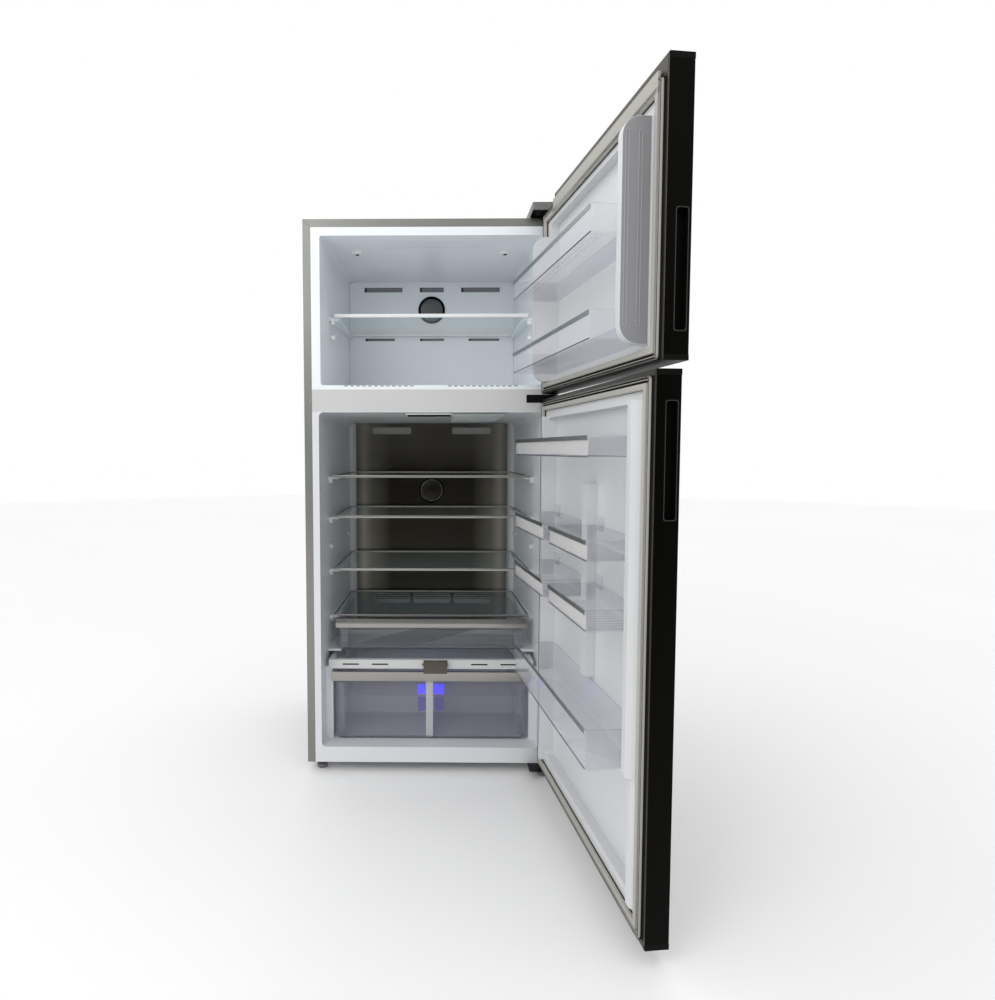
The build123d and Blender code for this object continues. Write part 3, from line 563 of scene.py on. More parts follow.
# ---- sizes and places that the frame doesn't hold, in metres ----
FRAME_WIDTH = 0.026
CEILING_FRONT_Z, CEILING_SLOPE = 1.8005, 0.0278 / 0.612
CEILING_RIBS, CEILING_RIB_START, CEILING_RIB_PITCH, CEILING_RIB_REACH = 4, 0.055, 0.022, 0.168
BOSS_PLACE = (0.26, 0.17, 1.797)
PANEL_REACH, PANEL_FOOT, PANEL_HEAD = 0.3362, 1.3216, 1.7858
FREEZER_SLOTS = (
    (((-0.275, -0.120), (-0.049, 0.049), (0.120, 0.278)), 1.745, 1.764),
    (((-0.272, -0.152), (-0.048, 0.051), (0.152, 0.277)), 1.548, 1.558),
)
SLOT_RIM = 0.002
RETURN_SLOTS, RETURN_START, RETURN_PITCH, RETURN_LENGTH = 12, 0.057, 0.0198, 0.012
RETURN_Z = (1.3122, 1.3148)
UPPER_VENT_X, UPPER_VENT_Z = (0.086, 0.246), (1.167, 1.195)
GRILLES, GRILLE_Z = ((-0.242, -0.092), (-0.076, 0.078), (0.094, 0.248)), (0.453, 0.494)
GRILLE_BARS = ((0.456, 0.470), (0.474, 0.478), (0.483, 0.4865))
LAMP_REFLECTION_PLACE, LAMP_REFLECTION_HEIGHT = (0.0, 0.305, 0.092), 0.056
UNUSED_LEVEL_Z = 0.775
WALL_SUPPORTS = ((0.150, 0.3660, 0.040), (0.500, 0.3500, 0.036))
FREEZER_SUPPORT_X, FREEZER_SUPPORT_Y = (0.3375, 0.3525), 0.142
COVER_SLOT_STARTS, COVER_SLOT_Z = (-0.308, -0.206, 0.140, 0.242), (0.3535, 0.3590)
DYKE_SIDE, DYKE_CORNER = (-0.350, -0.0090, 0.0522, 1.3268, 1.7932), 0.0412
SEAL_HEAD_END_X, SEAL_HEAD_TOP_Z = 0.296, 1.861
FREEZER_BORDER_END, FRIDGE_BORDER_END = 0.300, 0.4188
KNURLS, THREADS, THREAD_START_Z, THREAD_PITCH = 24, 10, 0.0165, 0.0016


# ---- cabinet details ----
def front_frame_seams():
    """Folded corners of the front frame: a fine mitre line at each corner."""
    low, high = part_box("outer_shell")
    half, gap = 0.0003, 0.003
    bm = bmesh.new()
    for side in (-1, 1):
        corner = Vector((side * high.x, low.y, high.z))
        run = Vector((-side * FRAME_WIDTH, 0, -FRAME_WIDTH))
        line = bmesh.new()
        block(line, (0, -0.0001, -half), (run.length - 0.004, 0.0006, half))
        turn = Matrix.Rotation(math.atan2(-run.z, run.x), 4, "Y")
        line.transform(Matrix.Translation(corner + run.normalized() * gap) @ turn)
        merge(bm, line)
    piece("frame_mitre_seams", bm, SEAM_DARK_AND_SLOT_SHADE, "cabinet")


def hinge_plugs():
    """Domed plugs in the unused hinge holes, each with a dimple."""
    bm = bmesh.new()
    for low, high in islands("hinge_plugs"):
        centre = (low + high) / 2
        radius = (high.x - low.x) / 2
        lies_flat = high.z - low.z < 0.004
        axis = (0, 0, -1) if lies_flat else (0, 1, 0)
        foot = Vector((centre.x, centre.y, high.z)) if lies_flat else Vector((centre.x, low.y, centre.z))
        profile = ((0.0, 0.0009), (radius * 0.35, 0.0008), (radius * 0.55, 0.0001), (radius * 0.75, 0.0),
                   (radius - 0.0002, 0.0007), (radius - 0.0002, 0.0012), (0.0, 0.0012))
        merge(bm, spun(profile, foot, axis, 32))
    piece("hinge_hole_plugs", bm, SHELL_STEEL, "cabinet", ("hinge_plugs",))


def freezer_ceiling_details():
    """Four fine ribs across the ceiling near its front, and two moulded bosses with open middles, their holes
    filled with painted shade.
    """
    bm = bmesh.new()
    for row in range(CEILING_RIBS):
        y = CEILING_RIB_START + row * CEILING_RIB_PITCH
        z = CEILING_FRONT_Z - CEILING_SLOPE * y
        block(bm, (-CEILING_RIB_REACH, y, z - 0.0009), (CEILING_RIB_REACH, y + 0.003, z), 0.0004, 1)
    piece("freezer_ceiling_ribs", bm, FREEZER_LIT_WHITE, "cabinet")
    x, y, z = BOSS_PLACE
    profile = (
        (0.007, 0.0), (0.007, -0.005), (0.010, -0.009), (0.017, -0.008), (0.021, -0.002), (0.021, 0.0),
    )
    for side, name in ((-1, "left"), (1, "right")):
        boss = spun(profile, (side * x, y, z), (0, 0, 1), 40)
        piece(f"freezer_ceiling_boss_{name}", boss, BRIGHT_WHITE, "cabinet")
        # Painted shade filling each boss's open middle.
        hole = bmesh.new()
        rod(hole, (side * x, y, z - 0.0105), (side * x, y, z - 0.001), 0.0068)
        piece(f"freezer_boss_hole_shade_{name}", hole, SEAM_DARK_AND_SLOT_SHADE, "cabinet")


def freezer_panel_details():
    """Raised rim round the back panel, its air slots, each with painted shade at its left end, and the return
    slots in the floor's front edge, filled with grey painted shade.
    """
    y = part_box("freezer_duct_panel")[0].y
    bm = bmesh.new()
    ring_plate(bm, (-PANEL_REACH, PANEL_FOOT), (PANEL_REACH, PANEL_HEAD), y + 0.004, 0.0165, 0.0045, 0.018)
    piece("freezer_panel_rim", bm, FREEZER_LIT_WHITE, "cabinet", bevel=0.0012)
    backs, ends, rims = bmesh.new(), bmesh.new(), bmesh.new()
    for slots, z0, z1 in FREEZER_SLOTS:
        for x0, x1 in slots:
            rim_low, rim_high = (x0 - SLOT_RIM, z0 - SLOT_RIM), (x1 + SLOT_RIM, z1 + SLOT_RIM)
            block(backs, (rim_low[0], y + 0.0060, rim_low[1]), (rim_high[0], y + 0.0075, rim_high[1]))
            # Dark block at each slot's left end: painted shade.
            block(ends, (x0 + 0.0005, y + 0.0015, z0), (x0 + 0.009, y + 0.0055, z1), 0.001, 2)
            ring_plate(rims, rim_low, rim_high, y + 0.001, SLOT_RIM, 0.0018, 0.003)
    piece("freezer_slot_backs", backs, SLOT_GREY, "cabinet")
    piece("freezer_slot_end_shades", ends, RIM_HIGHLIGHT_AND_END_SHADE, "cabinet")
    piece("freezer_slot_rims", rims, FREEZER_LIT_WHITE, "cabinet")
    # Grey inserts in the return slots' shallow pockets: painted shade.
    returns = bmesh.new()
    for side in (-1, 1):
        for slot in range(RETURN_SLOTS):
            start = RETURN_START + RETURN_PITCH * slot
            x0, x1 = sorted((side * start, side * (start + RETURN_LENGTH)))
            low, high = (x0 + 0.0002, 0.0004, RETURN_Z[0]), (x1 - 0.0002, 0.0011, RETURN_Z[1])
            block(returns, low, high, 0.0003, 1)
    piece("freezer_return_slot_shades", returns, DISC_GREY, "cabinet")


def cap_seat(name):
    """Front centre and outer radius of a round cap on a back panel."""
    low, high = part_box(name)
    return Vector(((low.x + high.x) / 2, low.y, (low.z + high.z) / 2)), (high.x - low.x) / 2


def freezer_cap():
    """Black ring round a grey dished disc."""
    centre, outer = cap_seat("freezer_fan_cap")
    ring = (
        (outer, 0.005), (outer, 0.001), (outer - 0.0015, 0.0),
        (outer - 0.0075, 0.0), (outer - 0.009, 0.0015), (outer - 0.009, 0.005),
    )
    piece("freezer_cap_ring", spun(ring, centre, (0, 1, 0)), CAP_BLACK, "cabinet",
          ("freezer_fan_cap",))
    disc = ((0.0, 0.0015), (0.040, 0.0015), (0.0445, 0.0022), (0.0455, 0.0035), (0.0455, 0.005), (0.0, 0.005))
    piece("freezer_cap_disc", spun(disc, centre, (0, 1, 0)), DISC_GREY, "cabinet")


def filter_cap():
    """Black ring, a fine bright rim and a disc in the panel's own steel."""
    centre, outer = cap_seat("air_filter_cap")
    ring = (
        (outer, 0.004), (outer, 0.001), (outer - 0.001, 0.0),
        (outer - 0.006, 0.0), (outer - 0.007, 0.001), (outer - 0.007, 0.004),
    )
    piece("filter_cap_ring", spun(ring, centre, (0, 1, 0)), CAP_BLACK, "cabinet",
          ("air_filter_cap",))
    rim = ((0.0448, 0.004), (0.0448, 0.0008), (0.0440, 0.0004), (0.0432, 0.0008), (0.0432, 0.004))
    piece("filter_cap_rim", spun(rim, centre, (0, 1, 0)), TRIM_STEEL, "cabinet")
    disc = ((0.0, 0.0016), (0.041, 0.0016), (0.0430, 0.0024), (0.0430, 0.006), (0.0, 0.006))
    piece("filter_cap_disc", spun(disc, centre, (0, 1, 0)), DUCT_STEEL, "cabinet")


def vent_frames():
    """Outlines, backs and bars of the slots in the fridge's back panel; the grilles' backs are painted shade.
    """
    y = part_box("fridge_duct_panel")[0].y
    bm, pale, dark, bars = bmesh.new(), bmesh.new(), bmesh.new(), bmesh.new()
    z0, z1 = UPPER_VENT_Z
    for side in (-1, 1):
        x0, x1 = sorted((side * UPPER_VENT_X[0], side * UPPER_VENT_X[1]))
        ring_plate(bm, (x0, z0), (x1, z1), y, 0.0025, 0.0015, 0.005)
        block(pale, (x0 + 0.002, y + 0.002, z0 + 0.001), (x1 - 0.002, y + 0.004, z1 - 0.001))
    z0, z1 = GRILLE_Z
    for x0, x1 in GRILLES:
        ring_plate(bm, (x0, z0), (x1, z1), y, 0.0022, 0.0015, 0.006)
        block(dark, (x0 + 0.002, y + 0.005, z0 + 0.001), (x1 - 0.002, y + 0.006, z1 - 0.001))
        for foot, head in GRILLE_BARS:
            block(bars, (x0 + 0.002, y + 0.0004, foot), (x1 - 0.002, y + 0.0022, head), 0.0007, 2)
    piece("fridge_vent_outlines", bm, BIN_STEEL, "cabinet")
    piece("fridge_upper_vent_backs", pale, VENT_GREY, "cabinet")
    piece("fridge_grille_shade_backs", dark, SEAM_DARK_AND_SLOT_SHADE, "cabinet")
    piece("fridge_grille_bars", bars, VENT_GREY, "cabinet")


def lamp_cover():
    """Ribbed translucent lens in the fridge's ceiling, which falls towards the back."""
    low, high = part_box("lamp_lens")
    ribs, margin, side = 22, 0.012, 0.006
    bm = bmesh.new()
    block(bm, (low.x, low.y, high.z - 0.006), (high.x, high.y, high.z - 0.002), 0.0015, 2)
    for rib in range(ribs):
        y = low.y + margin + (high.y - low.y - 2 * margin) * rib / (ribs - 1)
        start = (low.x + side, y - 0.003, high.z - 0.0085)
        block(bm, start, (high.x - side, y + 0.003, high.z - 0.0055), 0.0012, 2)
    slope = (high.z - low.z - 0.005) / (high.y - low.y)
    for vert in bm.verts:
        vert.co.z -= slope * (vert.co.y - low.y)
    piece("ceiling_lamp_lens", bm, LENS_FROST, "cabinet", ("lamp_lens",))


def ceiling_slot():
    """Air slot in the fridge's ceiling, filled with painted shade, with its pale frame."""
    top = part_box("lamp_lens")[1].z
    x0, x1, y0, y1, rim = -0.082, 0.077, 0.036, 0.196, 0.006
    hole, rims = bmesh.new(), bmesh.new()
    block(hole, (x0, y0, top - 0.0045), (x1, y1, top - 0.001), 0.001, 2)
    piece("ceiling_air_slot_shade", hole, SEAM_DARK_AND_SLOT_SHADE, "cabinet")
    block(rims, (x0 - rim, y0 - rim, top - 0.006), (x1 + rim, y0, top - 0.001), 0.0015, 2)
    for x in (x0 - rim, x1):
        block(rims, (x, y0 - rim, top - 0.006), (x + rim, y1, top - 0.001), 0.0015, 2)
    piece("ceiling_slot_frame", rims, BRIGHT_WHITE, "cabinet")


def blue_lamp():
    """Lamp behind the crisper: two bowed windows on the hump's slope, and below them a strip that glows as a
    painted reflection of the lamp's light.
    """
    low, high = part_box("crisper_light")
    angle = math.atan2(high.z - low.z - 0.004, high.y - low.y)
    half_x, half_y, gap = (high.x - low.x) / 2, 0.023, 0.012
    bm, lamp_reflection = bmesh.new(), bmesh.new()
    for side in (-1, 1):
        x0, x1 = sorted((side * gap, side * (half_x - 0.002)))
        block(bm, (x0, -half_y + 0.001, -0.0015), (x1, half_y - 0.001, 0.0018), 0.0014, 3)
        block(lamp_reflection, (x0, -0.0008, 0.0), (x1, 0.0, LAMP_REFLECTION_HEIGHT), 0.0004, 1)
    bm.transform(Matrix.Translation((low + high) / 2) @ Matrix.Rotation(angle, 4, "X"))
    piece("crisper_lamp_windows", bm, BLUE_GLOW, "cabinet", ("crisper_light",))
    lamp_reflection.transform(Matrix.Translation(LAMP_REFLECTION_PLACE))
    piece("crisper_lamp_painted_reflection", lamp_reflection, BLUE_LAMP_REFLECTION, "cabinet")


# ---- shelves ----
def glass_edges():
    """Ground side edges of each glass shelf, seen as dark lines."""
    for name, half_front, half_back in (
        ("fridge_shelf_glass", 0.349, 0.336),
        ("freezer_shelf_glass", 0.335, 0.326),
        ("crisper_cover_glass", 0.3415, 0.3415),
    ):
        bm = bmesh.new()
        for low, high in islands(name):
            middle = (low.z + high.z) / 2
            for side in (-1, 1):
                start = Vector((side * (half_front + 0.0008), low.y + 0.004, middle))
                end = Vector((side * (half_back + 0.0008), high.y - 0.004, middle))
                rod(bm, start, end, 0.0021, 8)
        piece(name + "_edges", bm, GLASS_EDGE, "cabinet")


def shelf_bars():
    """Front and rear bars of every glass shelf, with softly rounded fronts."""
    for name, paint, slot, front, rear in (
        ("fridge_shelf_trims", TRIM_STEEL, "trim_steel", 0.009, 0.006),
        ("freezer_shelf_trims", BRIGHT_WHITE, "liner_white", 0.012, 0.012),
    ):
        bm = bmesh.new()
        for low, high in islands(name):
            height = min(high.z - low.z, front if low.y < 0.2 else rear)
            part = bmesh.new()
            block(part, (low.x, low.y, high.z - height), high, 0.0022, 3, along=0)
            merge(bm, part)
        piece(name + "_rounded", bm, paint, "cabinet", (name,))


def arrow_support(bm, x0, x1, y, length, top):
    """Wedge with its point to the front, under a shelf whose top is given."""
    nose, low = top - 0.012, top - 0.024
    outline = ((y, nose), (y + length, nose), (y + length, low), (y + 0.4 * length, low - 0.004))
    part = bmesh.new()
    bar(part, outline, x0, x1)
    round_edges(part, list(part.edges), 0.0018, 2)
    merge(bm, part)


def shelf_supports():
    """Supports on the side walls under each shelf's ends, and one unused level in each compartment."""
    bm = bmesh.new()
    levels = [box[1].z for box in islands("fridge_shelf_glass")] + [UNUSED_LEVEL_Z]
    for top in levels:
        for side in (-1, 1):
            for y, wall, length in WALL_SUPPORTS:
                x0, x1 = sorted((side * (wall - 0.013), side * (wall + 0.001)))
                arrow_support(bm, x0, x1, y, length, top)
    piece("fridge_shelf_supports", bm, LINER, "cabinet")
    bm = bmesh.new()
    for side in (-1, 1):
        x0, x1 = sorted((side * FREEZER_SUPPORT_X[0], side * FREEZER_SUPPORT_X[1]))
        for length, z0, z1 in ((0.020, 1.541, 1.565), (0.024, 1.488, 1.503)):
            block(bm, (x0, FREEZER_SUPPORT_Y, z0), (x1, FREEZER_SUPPORT_Y + length, z1), 0.003, 3)
    piece("freezer_shelf_supports", bm, BRIGHT_WHITE, "cabinet")


# ---- bins and drawers ----
def tray_shell(low, high, radius):
    """Open tray as one skin: rounded upright corners and a rounded foot."""
    bm = bmesh.new()
    block(bm, low, high)
    upright = [e for e in bm.edges if abs(e.verts[0].co.z - e.verts[1].co.z) > (high[2] - low[2]) * 0.5]
    round_edges(bm, upright, radius, 5)
    top = [f for f in bm.faces if f.normal.z > 0.9]
    bmesh.ops.delete(bm, geom=top, context="FACES")
    foot = [e for e in bm.edges if all(abs(v.co.z - low[2]) < 0.0001 for v in e.verts) and not e.is_boundary]
    round_edges(bm, foot, 0.004, 3)
    return bm


def wall_of(made, thickness, rim=True):
    """Gives a one-skin shell its wall, growing inwards."""
    wall = made.modifiers.new("wall", "SOLIDIFY")
    wall.thickness = thickness
    wall.offset = -1.0
    wall.use_even_offset = True
    if rim:
        wall.material_offset_rim = 1


def door_bin(leaf, name, box, ears, node=(), floor="ribs"):
    """Clear bin with its floor pattern, the line along its foot and the hooks that hang it."""
    low, high = box
    made = leaf.piece(name, tray_shell(low, high, 0.009), [CLEAR, CLEAR_EDGE], "clear_plastic", node)
    wall_of(made, 0.0024)
    add_bevel(made, 0.0005, 1)
    leaf.piece(name + "_floor_" + floor, BIN_FLOORS[floor](low, high), CLEAR, "clear_plastic")
    # Dark line along the foot: painted shade of the clear edge's refraction.
    lines = bmesh.new()
    foot = low.z + 0.0022
    rod(lines, (low.x + 0.010, high.y - 0.0018, foot), (high.x - 0.010, high.y - 0.0018, foot), 0.0014, 8)
    leaf.piece(name + "_foot_line", lines, SHADOW_EDGE, "clear_plastic")
    hooks = bmesh.new()
    for x0, x1, rise in ears:
        part = bmesh.new()
        start, end = (x0, low.y + 0.0002, high.z - 0.012), (x1, low.y + 0.0032, high.z + rise)
        block(part, start, end, 0.0030, 3, along=1)
        merge(hooks, part)
    if ears:
        leaf.piece(name + "_hooks", hooks, CLEAR, "clear_plastic", bevel=0.0005)


def spread(start, end, count):
    """Evenly spaced places from start to end."""
    return [start + (end - start) * index / (count - 1) for index in range(count)]


def ribbed_floor(low, high):
    """Short ribs from back to front."""
    bm = bmesh.new()
    edge = 0.012
    for x in spread(low.x + 0.018, high.x - 0.018, max(6, int((high.x - low.x) / 0.022))):
        start = (x - 0.0012, low.y + edge, low.z + 0.0022)
        block(bm, start, (x + 0.0012, high.y - edge, low.z + 0.0038), 0.0006, 1)
    return bm


def slotted_floor(low, high):
    """Two rows of short slots along the bin's front."""
    bm = bmesh.new()
    for row in (0.020, 0.034):
        y = high.y - row
        for x in spread(low.x + 0.03, high.x - 0.03, 26):
            start = (x - 0.006, y - 0.002, low.z + 0.0022)
            block(bm, start, (x + 0.006, y + 0.002, low.z + 0.0034), 0.0005, 1)
    return bm


def slanted_floor(low, high):
    """Fine ribs laid across the floor at a slant."""
    bm = bmesh.new()
    edge, z = 0.012, low.z + 0.0026
    reach = high.y - low.y - 2 * edge
    for x in spread(low.x + 0.014, high.x - 0.014 - reach, 40):
        rod(bm, (x, low.y + edge, z), (x + reach, high.y - edge, z), 0.0011, 6)
    return bm


BIN_FLOORS = {"ribs": ribbed_floor, "slots": slotted_floor, "slants": slanted_floor}


def door_bins():
    """Two freezer bins, then the full-width and half-width bins of the fridge door."""
    for tier in ("upper", "lower"):
        box = FREEZER_LEAF.box(f"freezer_{tier}_bin")
        door_bin(FREEZER_LEAF, f"freezer_{tier}_bin_clear", box, (), (f"freezer_{tier}_bin",), "slots")
    full = islands("fridge_full_bins", FRIDGE_LEAF.shut)
    for index, (name, box) in enumerate(zip(("top", "bottle"), full)):
        stands_for = ("fridge_full_bins",) if index == 0 else ()
        floor = "ribs" if index == 0 else "slants"
        door_bin(FRIDGE_LEAF, f"fridge_{name}_bin_clear", box, (), stands_for, floor)
    for index, box in enumerate(islands("fridge_half_bins", FRIDGE_LEAF.shut)):
        low, high = box
        stands_for = ("fridge_half_bins",) if index == 0 else ()
        row = "upper" if index < 2 else "lower"
        side = "handle" if index % 2 == 0 else "hinge"
        ears = ((low.x + 0.006, low.x + 0.052, 0.026), (high.x - 0.052, high.x - 0.006, 0.026))
        door_bin(FRIDGE_LEAF, f"fridge_{row}_{side}_side_bin_clear", box, ears, stands_for)


def bin_fronts():
    """Painted reflection: a bright champagne film inside each bin's front wall, under its trim."""
    bm = bmesh.new()
    boxes = islands("fridge_full_bins", FRIDGE_LEAF.shut)[:1] + islands("fridge_half_bins", FRIDGE_LEAF.shut)
    trims = islands("fridge_bin_trims", FRIDGE_LEAF.shut)
    for low, high in boxes:
        for start, end in trims:
            if low.x - 0.01 < (start.x + end.x) / 2 < high.x + 0.01 and low.z < end.z < high.z + 0.01:
                block(bm, (start.x, high.y - 0.0034, low.z + 0.006), (end.x, high.y - 0.0027, start.z))
    FRIDGE_LEAF.piece("fridge_bin_front_painted_reflections", bm, BIN_FRONT_REFLECTION, "clear_plastic")


def front_foot_lines(name, low, high, body):
    """Edge of a clear drawer's front: a dark line of refraction with a pale one over it."""
    dark, pale = bmesh.new(), bmesh.new()
    x0, x1 = low.x + 0.016, high.x - 0.016
    rod(dark, (x0, low.y + 0.0018, low.z + 0.0020), (x1, low.y + 0.0018, low.z + 0.0020), 0.0015, 8)
    rod(pale, (x0, low.y + 0.0022, low.z + 0.0062), (x1, low.y + 0.0022, low.z + 0.0062), 0.0016, 8)
    piece(name + "_front_foot_line", dark, SHADOW_EDGE, body)
    piece(name + "_front_foot_edge", pale, CLEAR_EDGE, body)


def chiller():
    """Shallow clear drawer with ribbed posts behind its front corners."""
    low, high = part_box("chiller_drawer")
    made = piece("chiller_tray_clear", tray_shell(low, high, 0.010), [CLEAR, CLEAR_EDGE], "chiller_drawer",
                 ("chiller_drawer",))
    wall_of(made, 0.003)
    posts = bmesh.new()
    for side in (-1, 1):
        x0, x1 = sorted((side * (high.x - 0.030), side * (high.x - 0.0035)))
        block(posts, (x0, low.y + 0.0035, low.z + 0.004), (x1, low.y + 0.014, high.z - 0.002), 0.003, 3)
        for row in range(4):
            z = low.z + 0.016 + row * 0.014
            block(posts, (x0 + 0.003, low.y + 0.0025, z), (x1 - 0.003, low.y + 0.0045, z + 0.008), 0.0009, 2)
    piece("chiller_corner_posts", posts, CLEAR_EDGE, "chiller_drawer")
    floor = slanted_floor(low, high)
    piece("chiller_floor_slants", floor, CLEAR, "chiller_drawer")
    front_foot_lines("chiller", low, high, "chiller_drawer")


def drawer_handles():
    """Full-width handle bars with a rolled foot; the chiller's leans back over a flat front."""
    low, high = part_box("chiller_handle")
    step = low.z + 0.55 * (high.z - low.z)
    bm = bmesh.new()
    outline = (
        (high.y - 0.0004, high.z - 0.0004), (low.y + 0.0045, high.z - 0.002), (low.y + 0.0030, step),
        (low.y + 0.0004, step - 0.002), (low.y + 0.0002, low.z + 0.004), (low.y + 0.002, low.z + 0.0006),
        (low.y + 0.0042, low.z + 0.003), (low.y + 0.0042, step - 0.003), (high.y - 0.0004, high.z - 0.004),
    )
    bar(bm, outline, low.x + 0.0006, high.x - 0.0006)
    piece("chiller_handle_bar", bm, HANDLE_STEEL, "chiller_drawer", ("chiller_handle",), 0.0006)
    low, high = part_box("crisper_handle")
    bm = bmesh.new()
    outline = (
        (high.y - 0.0004, high.z - 0.0004), (low.y + 0.0035, high.z - 0.0006),
        (low.y + 0.0018, high.z - 0.0016), (low.y + 0.0003, low.z + 0.004), (low.y + 0.002, low.z + 0.0006),
        (low.y + 0.0042, low.z + 0.003), (low.y + 0.0042, high.z - 0.007), (high.y - 0.0004, high.z - 0.0045),
    )
    bar(bm, outline, low.x + 0.0006, high.x - 0.0006)
    piece("crisper_handle_bar", bm, HANDLE_STEEL, "crisper_drawer", ("crisper_handle",), 0.0006)


def crisper():
    """Moulded posts behind the drawer's front corners, and the refracting edge along its foot."""
    low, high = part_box("crisper_drawer")
    posts = bmesh.new()
    for side in (-1, 1):
        x0, x1 = sorted((side * (high.x - 0.034), side * (high.x - 0.012)))
        block(posts, (x0, low.y + 0.0035, low.z + 0.008), (x1, low.y + 0.012, high.z - 0.03), 0.003, 3)
        x0, x1 = sorted((side * (high.x - 0.030), side * (high.x - 0.016)))
        block(posts, (x0, low.y + 0.0030, low.z + 0.012), (x1, low.y + 0.005, low.z + 0.085), 0.001, 2)
    piece("crisper_corner_posts", posts, CLEAR_EDGE, "crisper_drawer")
    front_foot_lines("crisper", low, high, "crisper_drawer")


def cover_slots():
    """Slots in the crisper cover's front, filled with painted shade."""
    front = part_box("crisper_cover_frame")[0].y
    bm = bmesh.new()
    for x in COVER_SLOT_STARTS:
        start = (x + 0.0003, front - 0.0002, COVER_SLOT_Z[0])
        block(bm, start, (x + 0.0577, front + 0.004, COVER_SLOT_Z[1]), 0.0008, 2)
    piece("cover_front_slot_shades", bm, SEAM_DARK_AND_SLOT_SHADE, "cabinet")


def slider_knob():
    """Rounded slider with a pale mark on top."""
    soften("humidity_slider", 0.0015, 3)
    low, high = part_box("humidity_slider")
    x, y = (low.x + high.x) / 2, low.y + 0.0225
    bm = bmesh.new()
    block(bm, (x - 0.007, y - 0.0045, high.z - 0.0008), (x + 0.007, y + 0.0005, high.z), 0.0004, 2)
    piece("slider_mark", bm, PALE_MARK, "humidity_slider")


# ---- doors ----
def gasket(leaf):
    """Folded seal: a flat flange beside two rounded lips, with the grooves between them painted dark as
    shade.
    """
    low, high = leaf.box(leaf.body + "_gasket")
    bm = bmesh.new()
    seal_ring(bm, low, high, (0.0, 0.028), low.y, low.y + 0.004, 0.0004, 0.006)
    leaf.piece(leaf.body + "_seal_groove_shade", bm, SEAL_GROOVE_SHADE, "gasket", (leaf.body + "_gasket",))
    for name, insets, top, corner, paint in (
        ("outer_lip", (0.0010, 0.0032), high.y - 0.001, 0.010, SEAL_LIP),
        ("inner_lip", (0.0070, 0.0090), high.y - 0.002, 0.006, SEAL_LIP),
        ("flange", (0.0150, 0.0279), high.y, 0.001, SEAL_FLANGE),
    ):
        bm = bmesh.new()
        seal_ring(bm, low, high, insets, low.y + 0.0035, top, 0.0010, corner)
        leaf.piece(f"{leaf.body}_seal_{name}", bm, paint, "gasket")


def seal_ring(bm, low, high, insets, y0, y1, radius, corner):
    """Rectangular ring between two insets of the seal's outline, with rounded corners."""
    ring = []
    for inset in insets:
        x0, x1, z0, z1 = low.x + inset, high.x - inset, low.z + inset, high.z - inset
        ring.append([bm.verts.new((x, y0, z)) for x, z in ((x0, z0), (x1, z0), (x1, z1), (x0, z1))])
    faces = []
    for index in range(4):
        nxt = (index + 1) % 4
        faces.append(bm.faces.new((ring[0][index], ring[0][nxt], ring[1][nxt], ring[1][index])))
    grown = bmesh.ops.extrude_face_region(bm, geom=faces, use_keep_orig=True)["geom"]
    top = [v for v in grown if isinstance(v, bmesh.types.BMVert)]
    bmesh.ops.translate(bm, vec=(0, y1 - y0, 0), verts=top)
    bmesh.ops.recalc_face_normals(bm, faces=bm.faces)
    upright = [e for e in bm.edges if abs(e.verts[0].co.y - e.verts[1].co.y) > 0.0001]
    round_edges(bm, upright, corner, 4)
    crest = [
        e for e in bm.edges if all(abs(v.co.y - y1) < 0.00001 for v in e.verts) and e.calc_face_angle(0) > 0.5
    ]
    round_edges(bm, crest, radius, 2)


def door_border(leaf, top_end):
    """Folded steel edge of the door's skin, seen round the seal and painted lighter than the skin as a
    reflection, and the step beside the handle edge, painted dark as shade.
    """
    low, high = leaf.box(leaf.body + "_gasket")
    edge_low, edge_high = leaf.box(leaf.body + "_end_caps")
    x0, x1 = edge_low.x + 0.0012, edge_high.x - 0.0012
    z0, z1 = edge_low.z + 0.0008, edge_high.z - 0.0008
    y0, y1 = low.y - 0.0004, low.y + 0.0006
    steel, step = bmesh.new(), bmesh.new()
    plates = [((x0, z0), (x0 + 0.007, z1)), ((high.x, z0), (x1, high.z)), ((x0, high.z), (top_end, z1))]
    if low.z > z0:
        plates.append(((x0, z0), (x1, low.z)))
    for (left, bottom), (right, top) in plates:
        block(steel, (left, y0, bottom), (right, y1, top), 0.0003, 1)
    block(step, (x0 + 0.0068, y0, max(z0, low.z)), (low.x + 0.001, y1 - 0.0003, high.z))
    leaf.piece(leaf.body + "_border", steel, BORDER_STEEL_REFLECTION, "door_skin")
    leaf.piece(leaf.body + "_border_step_shade", step, SEAL_GROOVE_SHADE, "door_skin")


def grip_rims():
    """Thin lighter rim round each finger recess: a painted highlight where the recess's edge catches light.
    """
    for leaf in (FREEZER_LEAF, FRIDGE_LEAF):
        low, high = leaf.box(leaf.body + "_grip")
        margin, rise = 0.0015, 0.0004
        bm = bmesh.new()
        corner, far = (-high.y + margin, low.z + margin), (-low.y - margin, high.z - margin)
        ring_plate(bm, corner, far, rise, 0.0016, rise, 0.007)
        bm.transform(Matrix.Translation((low.x, 0, 0)) @ Matrix.Rotation(-math.pi / 2, 4, "Z"))
        leaf.piece(leaf.body + "_grip_rim_highlight", bm, RIM_HIGHLIGHT_AND_END_SHADE, "grip")


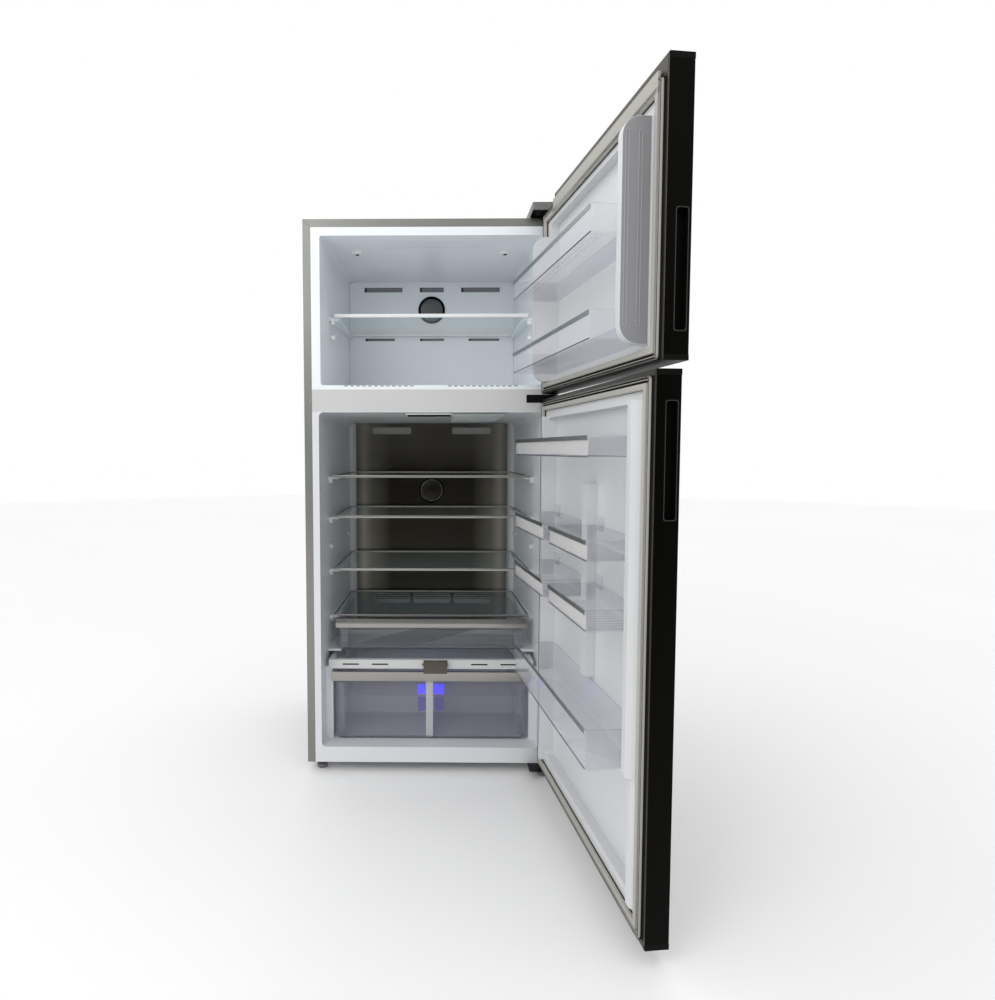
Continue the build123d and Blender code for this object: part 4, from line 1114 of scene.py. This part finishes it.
def freezer_dyke_side():
    """Free-edge side of the freezer door's handle-side hump, with its two long beads: door liner white
    painted grey as shade, the beads a little lighter as painted highlights.
    """
    side, foot, crest, bottom, top = DYKE_SIDE
    bm = bmesh.new()
    block(bm, (side - 0.0004, foot, bottom), (side + 0.001, crest, top))
    corners = [
        edge for edge in bm.edges
        if all(vert.co.y > 0.05 for vert in edge.verts)
        and abs(edge.verts[0].co.x - edge.verts[1].co.x) > 0.001
    ]
    round_edges(bm, corners, DYKE_CORNER, 8)
    FREEZER_LEAF.piece("freezer_dyke_side", bm, DYKE_SHADED_WHITE, "door_liner")
    beads = bmesh.new()
    for y in (0.009, 0.038):
        ring_plate(beads, (-y - 0.009, 1.362), (-y, 1.765), 0.0002, 0.0018, 0.0014, 0.0042)
    beads.transform(Matrix.Translation((side - 0.0004, 0, 0)) @ Matrix.Rotation(-math.pi / 2, 4, "Z"))
    FREEZER_LEAF.piece("freezer_dyke_beads", beads, DYKE_BEAD_SHADED_WHITE, "door_liner")


def freezer_seal_head():
    """Flat flange that carries on above the freezer door's seal."""
    low, high = FREEZER_LEAF.box("freezer_door_gasket")
    bm = bmesh.new()
    start = (low.x + 0.015, low.y + 0.0035, high.z - 0.028)
    block(bm, start, (SEAL_HEAD_END_X, high.y, SEAL_HEAD_TOP_Z), 0.0008, 2)
    FREEZER_LEAF.piece("freezer_seal_head", bm, SEAL_FLANGE, "gasket")


def feet():
    """Levelling feet: a knurled disc under a threaded stem."""
    for name in ("left_foot", "right_foot"):
        low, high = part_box(name)
        centre = Vector(((low.x + high.x) / 2, (low.y + high.y) / 2, 0.0))
        radius = (high.x - low.x) / 2
        profile = (
            (0.0, 0.0), (radius - 0.003, 0.0), (radius, 0.003), (radius, 0.012), (radius - 0.002, 0.014),
            (0.0055, 0.014), (0.0048, 0.016), (0.0048, high.z), (0.0, high.z),
        )
        bm = spun(profile, centre, (0, 0, 1), 48)
        for step in range(KNURLS):
            angle = 2 * math.pi * step / KNURLS
            x = centre.x + math.cos(angle) * (radius - 0.0005)
            y = centre.y + math.sin(angle) * (radius - 0.0005)
            rod(bm, (x, y, 0.003), (x, y, 0.012), 0.0012, 6)
        for turn in range(THREADS):
            z = THREAD_START_Z + turn * THREAD_PITCH
            rod(bm, (centre.x, centre.y, z), (centre.x, centre.y, z + 0.0007), 0.0050, 24)
        piece(name + "_knurled", bm, FOOT_GREY, name, (name,))


add_camera()
add_world()
add_floor()
add_flag()
add_softbox("key", (-1.6, -2.6, 2.6), (0.0, 0.0, 1.0), (1.6, 1.6), 22.0)
paint_nodes()
soften("middle_hinge", 0.0008)
soften("top_hinge_cover", 0.003, 3)
front_frame_seams()
hinge_plugs()
freezer_ceiling_details()
freezer_panel_details()
freezer_cap()
filter_cap()
vent_frames()
lamp_cover()
ceiling_slot()
blue_lamp()
glass_edges()
shelf_bars()
shelf_supports()
door_bins()
bin_fronts()
chiller()
crisper()
drawer_handles()
cover_slots()
slider_knob()
gasket(FREEZER_LEAF)
gasket(FRIDGE_LEAF)
door_border(FREEZER_LEAF, FREEZER_BORDER_END)
door_border(FRIDGE_LEAF, FRIDGE_BORDER_END)
grip_rims()
freezer_dyke_side()
freezer_seal_head()
feet()
